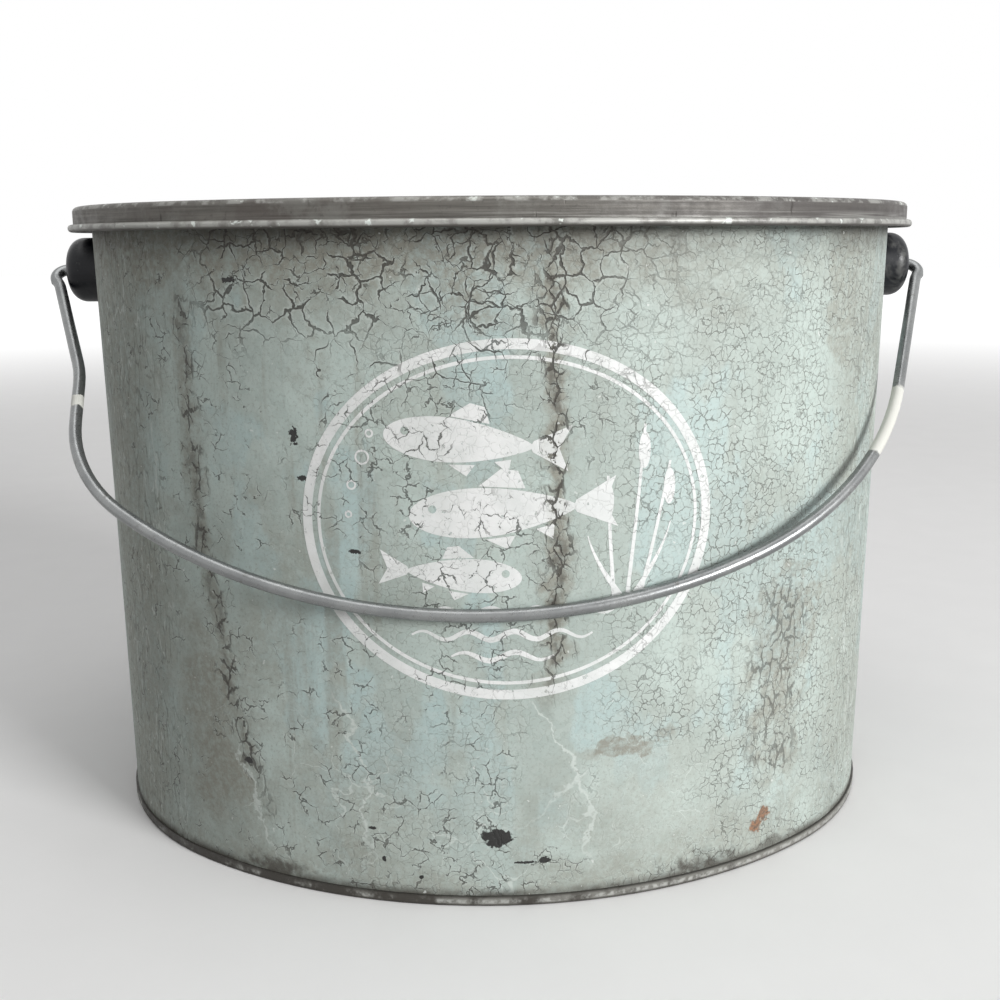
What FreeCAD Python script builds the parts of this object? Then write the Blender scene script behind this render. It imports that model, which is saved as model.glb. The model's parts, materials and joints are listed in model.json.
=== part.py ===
"""Two-piece oval minnow bucket: an outer pail with a wire bail, and a lift-out liner with a float tank.

Every oval piece follows one four-centre oval, the tinsmith's layout: two end arcs and two side arcs.
A place on it is given by an offset outwards from the pail's wall and by a height above the ground.
Millimetres, +Z up, origin on the ground under the middle of the pail, the bail resting towards -Y.
"""
import FreeCAD
import Part
import Sketcher
import math
import os

SIZES = [
    ("pail_half_length", 120.4, "outside of the pail's wall at the rim, along X"),
    ("pail_half_width", 99.3, "outside of the pail's wall at the rim, along Y"),
    ("side_swell", 11.3, "how much less the end arcs' radius is than the half width"),
    ("total_height", 181.2, "ground to the top of the deck"),
    ("wall_taper", 1.8, "how much smaller the wall's oval is at the ground"),
    ("pail_sheet", 0.6, "sheet of the pail"),
    ("fit_gap", 0.05, "solder film between pieces of one body"),
    ("seat_gap", 0.3, "room between pieces that rest on each other and come apart"),
    ("run_gap", 0.08, "radial play of a pin in its hole"),
    ("rim_wire_radius", 1.5, "wire inside the pail's rolled rim"),
    ("seam_height", 2.8, "double seam round the foot of the pail"),
    ("seam_round", 0.5, "rounded lower edges of that seam"),
    ("bottom_rise", 6.0, "top of the pail's bottom above the ground"),
    ("lock_seam_width", 7.0, "folded side seam at the back of the pail"),
    ("lock_seam_height", 0.7, "how far the side seam stands proud"),
    ("ear_drop", 18.2, "deck's top to the bail's axis"),
    ("ear_radius", 9.8, "drawn cup that holds one end of the bail"),
    ("ear_reach", 10.7, "face of the cup out from the wall"),
    ("ear_edge", 4.6, "rounded outer edge of the cup"),
    ("ear_sheet", 0.9, "sheet of the cup"),
    ("bail_radius", 1.7, "bail's wire"),
    ("bail_spare", 30.9, "bail's reach to the middle of its bow, over the pail's half width"),
    ("bow_tuck", 2.8, "ends of the bow's chord inside the pail's half length"),
    ("bow_depth", 56.9, "depth of the round bow across that chord"),
    ("bow_shift", -5.0, "how far the bow is bent to one side"),
    ("bow_room", 0.3, "more room at the wall, because the shifted bow bears beside its middle"),
    ("hook_radius", 3.3, "bend beside the cup"),
    ("hook_room", 0.9, "cup's face to the start of that bend"),
    ("knee_radius", 8.0, "reverse bend between hook and leg"),
    ("neck_spare", 8.5, "legs beside the deck, out from the pail's half length"),
    ("neck_drop", 20.0, "bail's axis to that place on the legs"),
    ("right_leg_tuck", 3.8, "end of the right leg inside the pail's half length"),
    ("right_leg_rise", 19.3, "end of the right leg above the bow's chord"),
    ("left_leg_tuck", 2.6, "end of the left leg inside the pail's half length"),
    ("left_leg_rise", 9.3, "end of the left leg above the bow's chord"),
    ("waist_drop", 45.0, "bail's axis to the bend in the left leg"),
    ("waist_radius", 40.0, "that bend"),
    ("waist_pinch", 2.3, "inward lean of the left leg below it"),
    ("head_radius", 3.2, "upset end of the bail inside the cup"),
    ("head_length", 1.2, "thickness of that end"),
    ("deck_sheet", 0.55, "sheet of the deck"),
    ("skirt_reach", 5.0, "outside of the deck's skirt, out from the pail's wall"),
    ("skirt_drop", 7.0, "deck's top to the underside of the skirt's bead"),
    ("bead_bore", 0.5, "inside radius of the skirt's rolled bead"),
    ("deck_edge", 1.5, "rounded edges of the deck"),
    ("panel_lap", 1.5, "flat edge inside the deck's step, which the panel joins"),
    ("ledge", 8.0, "pail's wall line to the recess in the deck"),
    ("recess", 10.0, "depth of that recess"),
    ("well_inset", 55.0, "pail's wall line to the opening in the deck"),
    ("liner_sheet", 0.5, "sheet of the liner"),
    ("liner_gap", 2.4, "room round the liner inside the pail"),
    ("liner_lap", 8.0, "laps and flanges of the liner"),
    ("tank_flange", 3.6, "tank wall's flange under the deck"),
    ("tank_height", 50.0, "float tank under the recessed deck"),
    ("liner_rise", 16.0, "underside of the liner above the ground"),
    ("drain_radius", 2.5, "holes through the basket"),
    ("drain_pitch", 24.0, "rows and columns of those holes"),
    ("drain_start", 36.0, "underside of the basket to the first row"),
    ("door_sheet", 0.7, "sheet of the door"),
    ("door_lap", 6.0, "door's lap over the deck's opening"),
    ("rib_inset", 21.0, "door's edge to its raised rib"),
    ("rib_radius", 1.0, "round of that rib"),
    ("air_radius", 2.0, "air holes in the door"),
    ("air_pitch", 14.0, "rows and columns of the air holes"),
    ("leaf_sheet", 0.8, "sheet of the hinge leaves"),
    ("leaf_length", 21.0, "door's leaf, along Y"),
    ("deck_leaf_length", 13.0, "deck's leaf, along Y"),
    ("hinge_half_length", 25.0, "half of the hinge, along X"),
    ("knuckle_half_length", 14.7, "half of the door's knuckle"),
    ("knuckle_radius", 2.0, "outside of the knuckles"),
    ("hinge_set_back", 4.5, "door's edge to the hinge pin"),
    ("pin_radius", 1.0, "hinge pin"),
    ("rivet_radius", 1.2, "shank of the door's rivets"),
    ("rivet_head", 2.4, "head of those rivets"),
    ("rivet_height", 1.1, "height of those heads"),
    ("rivet_crown", 1.45, "flat top of those heads"),
    ("rivet_pitch", 9.5, "spacing of those rivets"),
    ("rivet_inset", 17.0, "hinge pin to the row of rivets"),
    ("knob_radius", 5.5, "door's knob"),
    ("knob_height", 6.5, "knob above the door"),
    ("knob_stem", 2.2, "stem of the knob"),
    ("knob_collar", 3.3, "foot of that stem"),
    ("knob_neck", 1.95, "height of that stem"),
    ("knob_step", 1.3, "rise from the stem to the knob's shoulder, and on to its widest place"),
    ("knob_shoulder", 4.4, "radius of that shoulder"),
    ("knob_bevel", 0.5, "drop of the knob's domed top"),
    ("knob_crown", 1.9, "flat at the top of the knob"),
    ("knob_inset", 12.5, "door's front edge to the knob"),
    ("lift_wire_radius", 1.3, "liner's own lifting bail"),
    ("lift_inset", 16.0, "pail's wall line to that bail"),
    ("lift_bend", 3.0, "bend at its ends"),
    ("lift_end", 1.5, "how far its ends pass their saddles"),
    ("lift_height", 2.4, "its axis above the recessed deck"),
    ("clip_length", 8.0, "saddle over each end, along X"),
    ("clip_half_width", 8.0, "half of the saddle's foot, along Y"),
    ("clip_wall", 1.3, "metal round the wire"),
]

# Rows and columns of round holes.
DRAIN_GRID = (7, 5)
AIR_GRID = (7, 3)

doc = FreeCAD.newDocument("minnow_bucket")
sheet = doc.addObject("Spreadsheet::Sheet", "Sizes")
for row, (alias, value, meaning) in enumerate(SIZES, start=1):
    sheet.set(f"A{row}", meaning)
    sheet.set(f"B{row}", str(value))
    sheet.setAlias(f"B{row}", alias)
doc.recompute()


class Size:
    """A length with its number now and the sheet expression that drives it."""

    def __init__(self, number, text):
        self.number = number
        self.text = text

    def joined(self, other, sign, number):
        return Size(number, f"({self.text} {sign} {as_size(other).text})")

    def __add__(self, other):
        return self.joined(other, "+", self.number + as_size(other).number)

    def __sub__(self, other):
        return self.joined(other, "-", self.number - as_size(other).number)

    def __mul__(self, other):
        return self.joined(other, "*", self.number * as_size(other).number)

    def __truediv__(self, other):
        return self.joined(other, "/", self.number / as_size(other).number)

    def __neg__(self):
        return Size(-self.number, f"(0 - {self.text})")

    def __radd__(self, other):
        return as_size(other) + self

    def __rsub__(self, other):
        return as_size(other) - self

    def __rmul__(self, other):
        return as_size(other) * self

    def __rtruediv__(self, other):
        return as_size(other) / self


def as_size(value):
    """A plain number as a Size; a Size as itself."""
    if isinstance(value, Size):
        return value
    return Size(float(value), repr(float(value)))


def size(alias):
    """The sheet's cell of that name."""
    return Size(float(getattr(sheet, alias)), f"Sizes.{alias}")


def root(value):
    return Size(math.sqrt(value.number), f"sqrt({value.text})")


HALF_LENGTH = size("pail_half_length")
HALF_WIDTH = size("pail_half_width")
END_RADIUS = HALF_WIDTH - size("side_swell")
TOTAL_HEIGHT = size("total_height")
PAIL_SHEET = size("pail_sheet")
FIT_GAP = size("fit_gap")
SEAT_GAP = size("seat_gap")
RUN_GAP = size("run_gap")
DECK_SHEET = size("deck_sheet")
LINER_SHEET = size("liner_sheet")
EAR_HEIGHT = TOTAL_HEIGHT - size("ear_drop")
BAIL_REACH = HALF_WIDTH + size("bail_spare")
BAIL_RADIUS = size("bail_radius")

# The oval: end arcs about (+-END_CENTRE, 0), side arcs about (0, +-SIDE_CENTRE).
SIDE_RADIUS = (HALF_LENGTH * HALF_LENGTH + HALF_WIDTH * HALF_WIDTH - 2 * HALF_LENGTH * END_RADIUS) / (
    2 * (HALF_WIDTH - END_RADIUS))
END_CENTRE = HALF_LENGTH - END_RADIUS
SIDE_CENTRE = SIDE_RADIUS - HALF_WIDTH
CENTRE_SPAN = SIDE_RADIUS - END_RADIUS

# The bail's bow is one arc over a chord a little shorter than the pail.
BOW_HALF_CHORD = HALF_LENGTH - size("bow_tuck")
BOW_DEPTH = size("bow_depth")
BOW_RADIUS = (BOW_HALF_CHORD * BOW_HALF_CHORD + BOW_DEPTH * BOW_DEPTH) / (2 * BOW_DEPTH)

# Heights that several pieces share.
RIM_BORE = size("rim_wire_radius") + FIT_GAP
RIM_TOP = TOTAL_HEIGHT - DECK_SHEET - SEAT_GAP
RIM_CENTRE = RIM_TOP - PAIL_SHEET - RIM_BORE
PANEL_TOP = TOTAL_HEIGHT - size("recess")
PANEL_UNDER = PANEL_TOP - DECK_SHEET
TANK_FLOOR = PANEL_UNDER - size("tank_height")
LINER_RISE = size("liner_rise")
DOOR_UNDER = PANEL_TOP + SEAT_GAP
DOOR_TOP = DOOR_UNDER + size("door_sheet")

# The door's edge and its hinge.
WELL_EDGE = -size("well_inset")
DOOR_EDGE = WELL_EDGE + size("door_lap")
HINGE_Y = HALF_WIDTH + DOOR_EDGE + size("hinge_set_back")
HINGE_Z = PANEL_TOP + size("knuckle_radius") + SEAT_GAP


def wall_lean(height):
    """Offset of the pail's outside at that height: nothing at the rim, the whole taper at the ground."""
    return size("wall_taper") * (height / RIM_CENTRE - 1)


def tank_side(height):
    """Offset of the float tank's outside."""
    return wall_lean(height) - PAIL_SHEET - size("liner_gap")


def basket_side(height):
    """Offset of the basket's outside, which nests in the tank's wall."""
    return tank_side(height) - LINER_SHEET - FIT_GAP


def pan_side(height):
    """Offset of the outside of the pan that closes the basket."""
    return basket_side(height) - LINER_SHEET - FIT_GAP


class Line:
    """A straight step of an outline to a point."""

    def __init__(self, across, up):
        self.end = (as_size(across), as_size(up))


class Arc:
    """A round step of an outline to a point, about a centre, turning left or right."""

    def __init__(self, across, up, centre, radius, turn):
        self.end = (as_size(across), as_size(up))
        self.centre = centre
        self.radius = radius
        self.turn = turn


def flat(point):
    return FreeCAD.Vector(as_size(point[0]).number, as_size(point[1]).number, 0)


def arc_curve(start, step):
    """The step's arc, which always runs anticlockwise in a sketch."""
    centre = flat(step.centre)
    first, last = flat(start) - centre, flat(step.end) - centre
    if step.turn == "right":
        first, last = last, first
    from_angle = math.atan2(first.y, first.x)
    to_angle = math.atan2(last.y, last.x)
    if to_angle <= from_angle:
        to_angle += 2 * math.pi
    circle = Part.Circle(centre, FreeCAD.Vector(0, 0, 1), step.radius.number)
    return Part.ArcOfCircle(circle, from_angle, to_angle)


def bind(sketch, constraint, value):
    index = sketch.addConstraint(constraint)
    sketch.setExpression(f"Constraints[{index}]", value.text)


def pin_point(sketch, geometry, end, point):
    """Ties one point of the sketch to its place from the origin."""
    bind(sketch, Sketcher.Constraint("DistanceX", -1, 1, geometry, end, point[0].number), point[0])
    bind(sketch, Sketcher.Constraint("DistanceY", -1, 1, geometry, end, point[1].number), point[1])


def draw(sketch, start, steps, closed=True):
    """Draws an outline from its start and binds every point and radius."""
    begin = (as_size(start[0]), as_size(start[1]))
    at = begin
    joints = []
    for number, step in enumerate(steps):
        if isinstance(step, Arc):
            geometry = sketch.addGeometry(arc_curve(at, step), False)
            ends = (1, 2) if step.turn == "left" else (2, 1)
            bind(sketch, Sketcher.Constraint("Radius", geometry, step.radius.number), step.radius)
        else:
            geometry = sketch.addGeometry(Part.LineSegment(flat(at), flat(step.end)), False)
            ends = (1, 2)
        if not closed and number == 0:
            pin_point(sketch, geometry, ends[0], begin)
        pin_point(sketch, geometry, ends[1], step.end)
        joints.append((geometry, ends))
        at = step.end
    links = list(zip(joints, joints[1:]))
    if closed:
        links.append((joints[-1], joints[0]))
    for (before, before_ends), (after, after_ends) in links:
        sketch.addConstraint(Sketcher.Constraint("Coincident", before, before_ends[1], after, after_ends[0]))


def draw_circle(sketch, across, up, radius):
    point = (as_size(across), as_size(up))
    circle = Part.Circle(flat(point), FreeCAD.Vector(0, 0, 1), radius.number)
    geometry = sketch.addGeometry(circle, False)
    bind(sketch, Sketcher.Constraint("Radius", geometry, radius.number), radius)
    pin_point(sketch, geometry, 3, point)


def draw_box(sketch, left, low, right, high):
    draw(sketch, (left, low), [Line(right, low), Line(right, high), Line(left, high), Line(left, low)])


def new_body(label):
    body = doc.addObject("PartDesign::Body", label)
    body.Label = label
    return body


def new_sketch(body, name, role, lift=None, rise=None):
    """A sketch on one of the body's own planes, lifted off it or raised along it."""
    sketch = body.newObject("Sketcher::SketchObject", f"{body.Name}_{name}")
    origin_plane = [plane for plane in body.Origin.OriginFeatures if plane.Role == role][0]
    sketch.AttachmentSupport = [(origin_plane, "")]
    sketch.MapMode = "FlatFace"
    if lift is not None:
        sketch.setExpression("AttachmentOffset.Base.z", as_size(lift).text)
    if rise is not None:
        sketch.setExpression("AttachmentOffset.Base.y", as_size(rise).text)
    return sketch


def oval_steps(offset):
    """The four arcs of the oval at that offset, and the point where they start."""
    end, side = END_RADIUS + offset, SIDE_RADIUS + offset
    across = END_CENTRE + end * END_CENTRE / CENTRE_SPAN
    along = end * SIDE_CENTRE / CENTRE_SPAN
    steps = [
        Arc(across, along, (END_CENTRE, 0), end, "left"),
        Arc(-across, along, (0, -SIDE_CENTRE), side, "left"),
        Arc(-across, -along, (-END_CENTRE, 0), end, "left"),
        Arc(across, -along, (0, SIDE_CENTRE), side, "left"),
    ]
    return (across, -along), steps


def oval_sketch(body, name, offset, lift=None):
    sketch = new_sketch(body, name, "XY_Plane", lift)
    start, steps = oval_steps(as_size(offset))
    draw(sketch, start, steps)
    return sketch


def place(offset, height):
    """A point of a section: offset from the wall line, height above the ground."""
    return HALF_LENGTH + offset, as_size(height)


def add_pipe(body, name, profile, spine, kind="PartDesign::AdditivePipe"):
    pipe = body.newObject(kind, f"{body.Name}_{name}")
    pipe.Profile = profile
    pipe.Spine = (spine, [])
    return pipe


def sweep_section(body, name, start, steps, kind="PartDesign::AdditivePipe"):
    """Carries a section round the wall's oval."""
    spine = oval_sketch(body, f"{name}_path", 0)
    profile = new_sketch(body, f"{name}_section", "XZ_Plane")
    draw(profile, start, steps)
    return add_pipe(body, name, profile, spine, kind)


def section(points):
    """A straight-sided section from (offset, height) pairs."""
    placed = [place(*point) for point in points]
    return placed[0], [Line(*point) for point in placed[1:] + placed[:1]]


def add_pad(body, name, sketch, length, symmetric=False):
    pad = body.newObject("PartDesign::Pad", f"{body.Name}_{name}")
    pad.Profile = sketch
    pad.setExpression("Length", as_size(length).text)
    if symmetric:
        pad.SideType = "Symmetric"
    return pad


def add_pocket(body, name, sketch):
    """Cuts the sketch's outline downwards through all of the body."""
    pocket = body.newObject("PartDesign::Pocket", f"{body.Name}_{name}")
    pocket.Profile = sketch
    pocket.Type = "ThroughAll"
    return pocket


def add_revolution(body, name, sketch, axis):
    turned = body.newObject("PartDesign::Revolution", f"{body.Name}_{name}")
    turned.Profile = sketch
    turned.ReferenceAxis = (sketch, [axis])
    turned.Angle = 360
    return turned


def half_turned(body):
    """Turns a body half round the middle of the pail, for the piece at the other end."""
    body.Placement = FreeCAD.Placement(FreeCAD.Vector(), FreeCAD.Rotation(FreeCAD.Vector(0, 0, 1), 180))
    return body


# The pail.
def make_pail_wall():
    """Tapered wall, its top edge rolled outwards round the rim wire, its side seam folded at the back."""
    body = new_body("pail_wall")
    foot = PAIL_SHEET + FIT_GAP
    roll = place(RIM_BORE, RIM_CENTRE)
    rim = RIM_BORE + PAIL_SHEET
    steps = [
        Line(*place(wall_lean(foot), foot)),
        Line(*place(0, RIM_CENTRE)),
        Arc(*place(RIM_BORE, RIM_CENTRE - RIM_BORE), roll, RIM_BORE, "right"),
        Line(*place(RIM_BORE, RIM_CENTRE - rim)),
        Arc(*place(-PAIL_SHEET, RIM_CENTRE), roll, rim, "left"),
        Line(*place(wall_lean(foot) - PAIL_SHEET, foot)),
    ]
    sweep_section(body, "wall", place(wall_lean(foot) - PAIL_SHEET, foot), steps)
    low = size("seam_height") + SEAT_GAP
    high = RIM_CENTRE - rim - SEAT_GAP
    proud = size("lock_seam_height")
    fold = new_sketch(body, "fold_outline", "YZ_Plane")
    corners = [(-PAIL_SHEET / 2, low), (proud, low), (proud, high), (-PAIL_SHEET / 2, high)]
    points = [(HALF_WIDTH + wall_lean(height) + out, height) for out, height in corners]
    draw(fold, points[0], [Line(*point) for point in points[1:] + points[:1]])
    add_pad(body, "fold", fold, size("lock_seam_width"), symmetric=True)
    return body


def make_pail_rim_wire():
    """Stiffening wire inside the rolled rim."""
    body = new_body("pail_rim_wire")
    spine = oval_sketch(body, "path", 0)
    profile = new_sketch(body, "round", "XZ_Plane")
    draw_circle(profile, *place(RIM_BORE, RIM_CENTRE), size("rim_wire_radius"))
    add_pipe(body, "wire", profile, spine)
    return body


def make_pail_bottom():
    """Raised bottom whose edge goes down, under the wall and up outside it as the double seam."""
    body = new_body("pail_bottom")
    rise, curve = size("bottom_rise"), size("seam_round")
    inner = wall_lean(as_size(0)) - PAIL_SHEET - FIT_GAP
    outer = wall_lean(size("seam_height")) + FIT_GAP
    low, out = inner - PAIL_SHEET, outer + PAIL_SHEET
    steps = [
        Line(*place(low, curve)),
        Arc(*place(low + curve, 0), place(low + curve, curve), curve, "left"),
        Line(*place(out - curve, 0)),
        Arc(*place(out, curve), place(out - curve, curve), curve, "left"),
        Line(*place(out, size("seam_height"))),
        Line(*place(outer, size("seam_height"))),
        Line(*place(outer, PAIL_SHEET)),
        Line(*place(inner, PAIL_SHEET)),
        Line(*place(inner, rise)),
        Line(*place(low, rise)),
    ]
    sweep_section(body, "seam", place(low, rise), steps)
    add_pad(body, "panel", oval_sketch(body, "edge", inner, rise - PAIL_SHEET), PAIL_SHEET)
    return body


def make_bail_ear(label):
    """Drawn cup with a rounded edge and a hole for the bail, its mouth cut to sit on the wall."""
    body = new_body(label)
    radius, edge, metal = size("ear_radius"), size("ear_edge"), size("ear_sheet")
    face = HALF_LENGTH + size("ear_reach")
    mouth = HALF_LENGTH - size("ear_reach")
    hole = BAIL_RADIUS + RUN_GAP
    bend = (face - edge, radius - edge)
    cup = new_sketch(body, "cup_outline", "XZ_Plane", rise=EAR_HEIGHT)
    draw(cup, (mouth, radius), [
        Line(face - edge, radius),
        Arc(face, radius - edge, bend, edge, "right"),
        Line(face, hole),
        Line(face - metal, hole),
        Line(face - metal, radius - edge),
        Arc(face - edge, radius - metal, bend, edge - metal, "left"),
        Line(mouth, radius - metal),
        Line(mouth, radius),
    ])
    add_revolution(body, "cup", cup, "H_Axis")
    low, high = EAR_HEIGHT - 2 * radius, EAR_HEIGHT + 2 * radius
    inside = -2 * size("ear_reach")
    start, steps = section([
        (inside, low), (wall_lean(low) + FIT_GAP, low), (wall_lean(high) + FIT_GAP, high), (inside, high)])
    sweep_section(body, "seat", start, steps, "PartDesign::SubtractivePipe")
    return body


# The bail.
def leaning(slope):
    """Cosine and sine of a leg that comes inwards by this slope on its way down."""
    cosine = 1 / root(1 + slope * slope)
    return cosine, slope * cosine


def bail_side(hand, name):
    """Points of one side of the bail, as distances out from the middle and down from the axis."""
    foot = (HALF_LENGTH - size(f"{name}_leg_tuck"), BAIL_REACH - BOW_DEPTH - size(f"{name}_leg_rise"))
    neck = (HALF_LENGTH + size("neck_spare"), size("neck_drop"))
    waist_drop, pinch = size("waist_drop"), size("waist_pinch")
    corner = foot if name == "right" else (foot[0] + pinch, waist_drop)
    slope = (neck[0] - corner[0]) / (corner[1] - neck[1])
    low_slope = slope if name == "right" else pinch / (foot[1] - waist_drop)
    cosine, sine = leaning(slope)
    low_cosine, low_sine = leaning(low_slope)
    diagonal = root(as_size(0.5))
    hook, knee, waist, bow = size("hook_radius"), size("knee_radius"), size("waist_radius"), BOW_RADIUS
    bend = HALF_LENGTH + size("ear_reach") + size("hook_room")
    tip = (bend + hook * diagonal, hook + hook * diagonal)
    turned = (tip[0] - knee * (cosine - diagonal), tip[1] + knee * (diagonal - sine))
    run = (turned[0] - corner[0] + slope * (turned[1] - corner[1])) / (1 - slope)
    knee_in = (tip[0] - run, tip[1] + run)
    knee_out = (turned[0] - run, turned[1] + run)
    tangent = waist * (sine * low_cosine - cosine * low_sine) / (1 + sine * low_sine + cosine * low_cosine)
    waist_out = (corner[0] - low_sine * tangent, corner[1] + low_cosine * tangent)
    bow_centre = (hand * size("bow_shift"), BAIL_REACH - bow)
    across, down = foot[0] - bow_centre[0], foot[1] - bow_centre[1]
    shoulder = (bow * bow - across * across - down * down) / (2 * (bow - across * low_cosine - down * low_sine))
    centre = (foot[0] - shoulder * low_cosine, foot[1] - shoulder * low_sine)
    stretch = bow / (bow - shoulder)
    return {
        "bend": (bend, as_size(0)),
        "hook_centre": (bend, hook),
        "tip": tip,
        "knee_in": knee_in,
        "knee_centre": (knee_in[0] + knee * diagonal, knee_in[1] + knee * diagonal),
        "knee_out": knee_out,
        "waist_in": (corner[0] + sine * tangent, corner[1] - cosine * tangent),
        "waist_centre": (waist_out[0] + waist * low_cosine, waist_out[1] + waist * low_sine),
        "waist_out": waist_out,
        "foot": foot,
        "shoulder": shoulder,
        "shoulder_centre": centre,
        "bow_centre": bow_centre,
        "bow_start": tuple(base + (to - base) * stretch for base, to in zip(bow_centre, centre)),
    }


def bail_steps(head):
    """The bail's path from its right head, down and round the bow to its left head."""
    hook, knee, waist = size("hook_radius"), size("knee_radius"), size("waist_radius")
    right, left = bail_side(1, "right"), bail_side(-1, "left")

    def on_right(name):
        return right[name][0], -right[name][1]

    def on_left(name):
        return -left[name][0], -left[name][1]

    return [
        Line(*on_right("bend")),
        Arc(*on_right("tip"), on_right("hook_centre"), hook, "right"),
        Line(*on_right("knee_in")),
        Arc(*on_right("knee_out"), on_right("knee_centre"), knee, "left"),
        Line(*on_right("foot")),
        Arc(*on_right("bow_start"), on_right("shoulder_centre"), right["shoulder"], "right"),
        Arc(*on_left("bow_start"), on_right("bow_centre"), BOW_RADIUS, "right"),
        Arc(*on_left("foot"), on_left("shoulder_centre"), left["shoulder"], "right"),
        Line(*on_left("waist_out")),
        Arc(*on_left("waist_in"), on_left("waist_centre"), waist, "left"),
        Line(*on_left("knee_out")),
        Arc(*on_left("knee_in"), on_left("knee_centre"), knee, "left"),
        Line(*on_left("tip")),
        Arc(*on_left("bend"), on_left("hook_centre"), hook, "right"),
        Line(-head, 0),
    ]


def make_bail_wire():
    """Bent wire bail, drawn hanging straight down and then swung forwards onto the wall."""
    body = new_body("bail_wire")
    face = HALF_LENGTH + size("ear_reach") - size("ear_sheet") - SEAT_GAP
    head = face - size("head_length")
    path = new_sketch(body, "path", "XZ_Plane")
    draw(path, (head, 0), bail_steps(head), closed=False)
    profile = new_sketch(body, "round", "YZ_Plane", lift=head)
    draw_circle(profile, 0, 0, BAIL_RADIUS)
    add_pipe(body, "wire", profile, path)
    for side, start in (("right", head), ("left", -face)):
        disc = new_sketch(body, f"{side}_disc", "YZ_Plane", lift=start)
        draw_circle(disc, 0, 0, size("head_radius"))
        add_pad(body, f"{side}_head", disc, size("head_length"))
    touch = HALF_WIDTH - size("wall_taper") / 2 + BAIL_RADIUS + SEAT_GAP + size("bow_room")
    body.Placement = FreeCAD.Placement(FreeCAD.Vector(), FreeCAD.Rotation(FreeCAD.Vector(-1, 0, 0), 1))
    body.setExpression("Placement.Base.z", EAR_HEIGHT.text)
    body.setExpression("Placement.Rotation.Angle", f"asin({(touch / BAIL_REACH).text})")
    return body


# The liner.
def make_liner_deck():
    """Recessed deck: skirt with a rolled bead, ledge over the pail's rim, step down, panel with the well."""
    body = new_body("liner_deck")
    top, edge, metal, bore = TOTAL_HEIGHT, size("deck_edge"), DECK_SHEET, size("bead_bore")
    skirt, step = size("skirt_reach"), -size("ledge")
    inner_edge, bead = edge - metal, bore + metal
    rim_end = step - edge - size("panel_lap")
    bead_height = top - size("skirt_drop") + bead
    bead_centre = place(skirt + bore, bead_height)
    outer_bend = place(skirt - edge, top - edge)
    inner_bend = place(step + edge, top - edge)
    foot_bend = place(step - edge, PANEL_TOP + edge)
    steps = [
        Line(*place(skirt, top - edge)),
        Arc(*place(skirt - edge, top), outer_bend, edge, "left"),
        Line(*place(step + edge, top)),
        Arc(*place(step, top - edge), inner_bend, edge, "left"),
        Line(*place(step, PANEL_TOP + edge)),
        Arc(*place(step - edge, PANEL_TOP), foot_bend, edge, "right"),
        Line(*place(rim_end, PANEL_TOP)),
        Line(*place(rim_end, PANEL_UNDER)),
        Line(*place(step - edge, PANEL_UNDER)),
        Arc(*place(step + metal, PANEL_TOP + edge), foot_bend, edge + metal, "left"),
        Line(*place(step + metal, top - edge)),
        Arc(*place(step + edge, top - metal), inner_bend, inner_edge, "right"),
        Line(*place(skirt - edge, top - metal)),
        Arc(*place(skirt - metal, top - edge), outer_bend, inner_edge, "right"),
        Line(*place(skirt - metal, bead_height)),
        Arc(*place(skirt + bore, bead_height + bead), bead_centre, bead, "left"),
        Line(*place(skirt + bore, bead_height + bore)),
        Arc(*place(skirt, bead_height), bead_centre, bore, "right"),
    ]
    sweep_section(body, "rim", place(skirt, bead_height), steps)
    panel = oval_sketch(body, "panel_edge", rim_end + size("panel_lap") / 2, PANEL_UNDER)
    add_pad(body, "panel", panel, metal)
    add_pocket(body, "well", oval_sketch(body, "well_edge", WELL_EDGE, PANEL_TOP))
    return body


def make_tank_wall():
    """Outer wall of the float tank, flanged in under the deck's ledge and lapped over the basket."""
    body = new_body("tank_wall")
    high = TOTAL_HEIGHT - DECK_SHEET
    low = TANK_FLOOR - size("liner_lap")
    flange = tank_side(high) - size("tank_flange")
    start, steps = section([
        (tank_side(low) - LINER_SHEET, low), (tank_side(low), low), (tank_side(high), high), (flange, high),
        (flange, high - LINER_SHEET), (tank_side(high) - LINER_SHEET, high - LINER_SHEET)])
    sweep_section(body, "wall", start, steps)
    return body


def make_tank_sleeve():
    """Neck of the well, which is also the inner wall of the float tank."""
    body = new_body("tank_sleeve")
    out = WELL_EDGE + LINER_SHEET
    start, steps = section([
        (WELL_EDGE, TANK_FLOOR), (out, TANK_FLOOR), (out, PANEL_UNDER), (WELL_EDGE, PANEL_UNDER)])
    sweep_section(body, "neck", start, steps)
    return body


def make_tank_floor():
    """Ring that closes the tank from below, its outer edge turned up against the tank's wall."""
    body = new_body("tank_floor")
    low, high = TANK_FLOOR - LINER_SHEET, TANK_FLOOR + size("liner_lap")
    start, steps = section([
        (WELL_EDGE, low), (basket_side(low), low), (basket_side(high), high),
        (basket_side(high) - LINER_SHEET, high), (basket_side(TANK_FLOOR) - LINER_SHEET, TANK_FLOOR),
        (WELL_EDGE, TANK_FLOOR)])
    sweep_section(body, "ring", start, steps)
    return body


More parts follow.
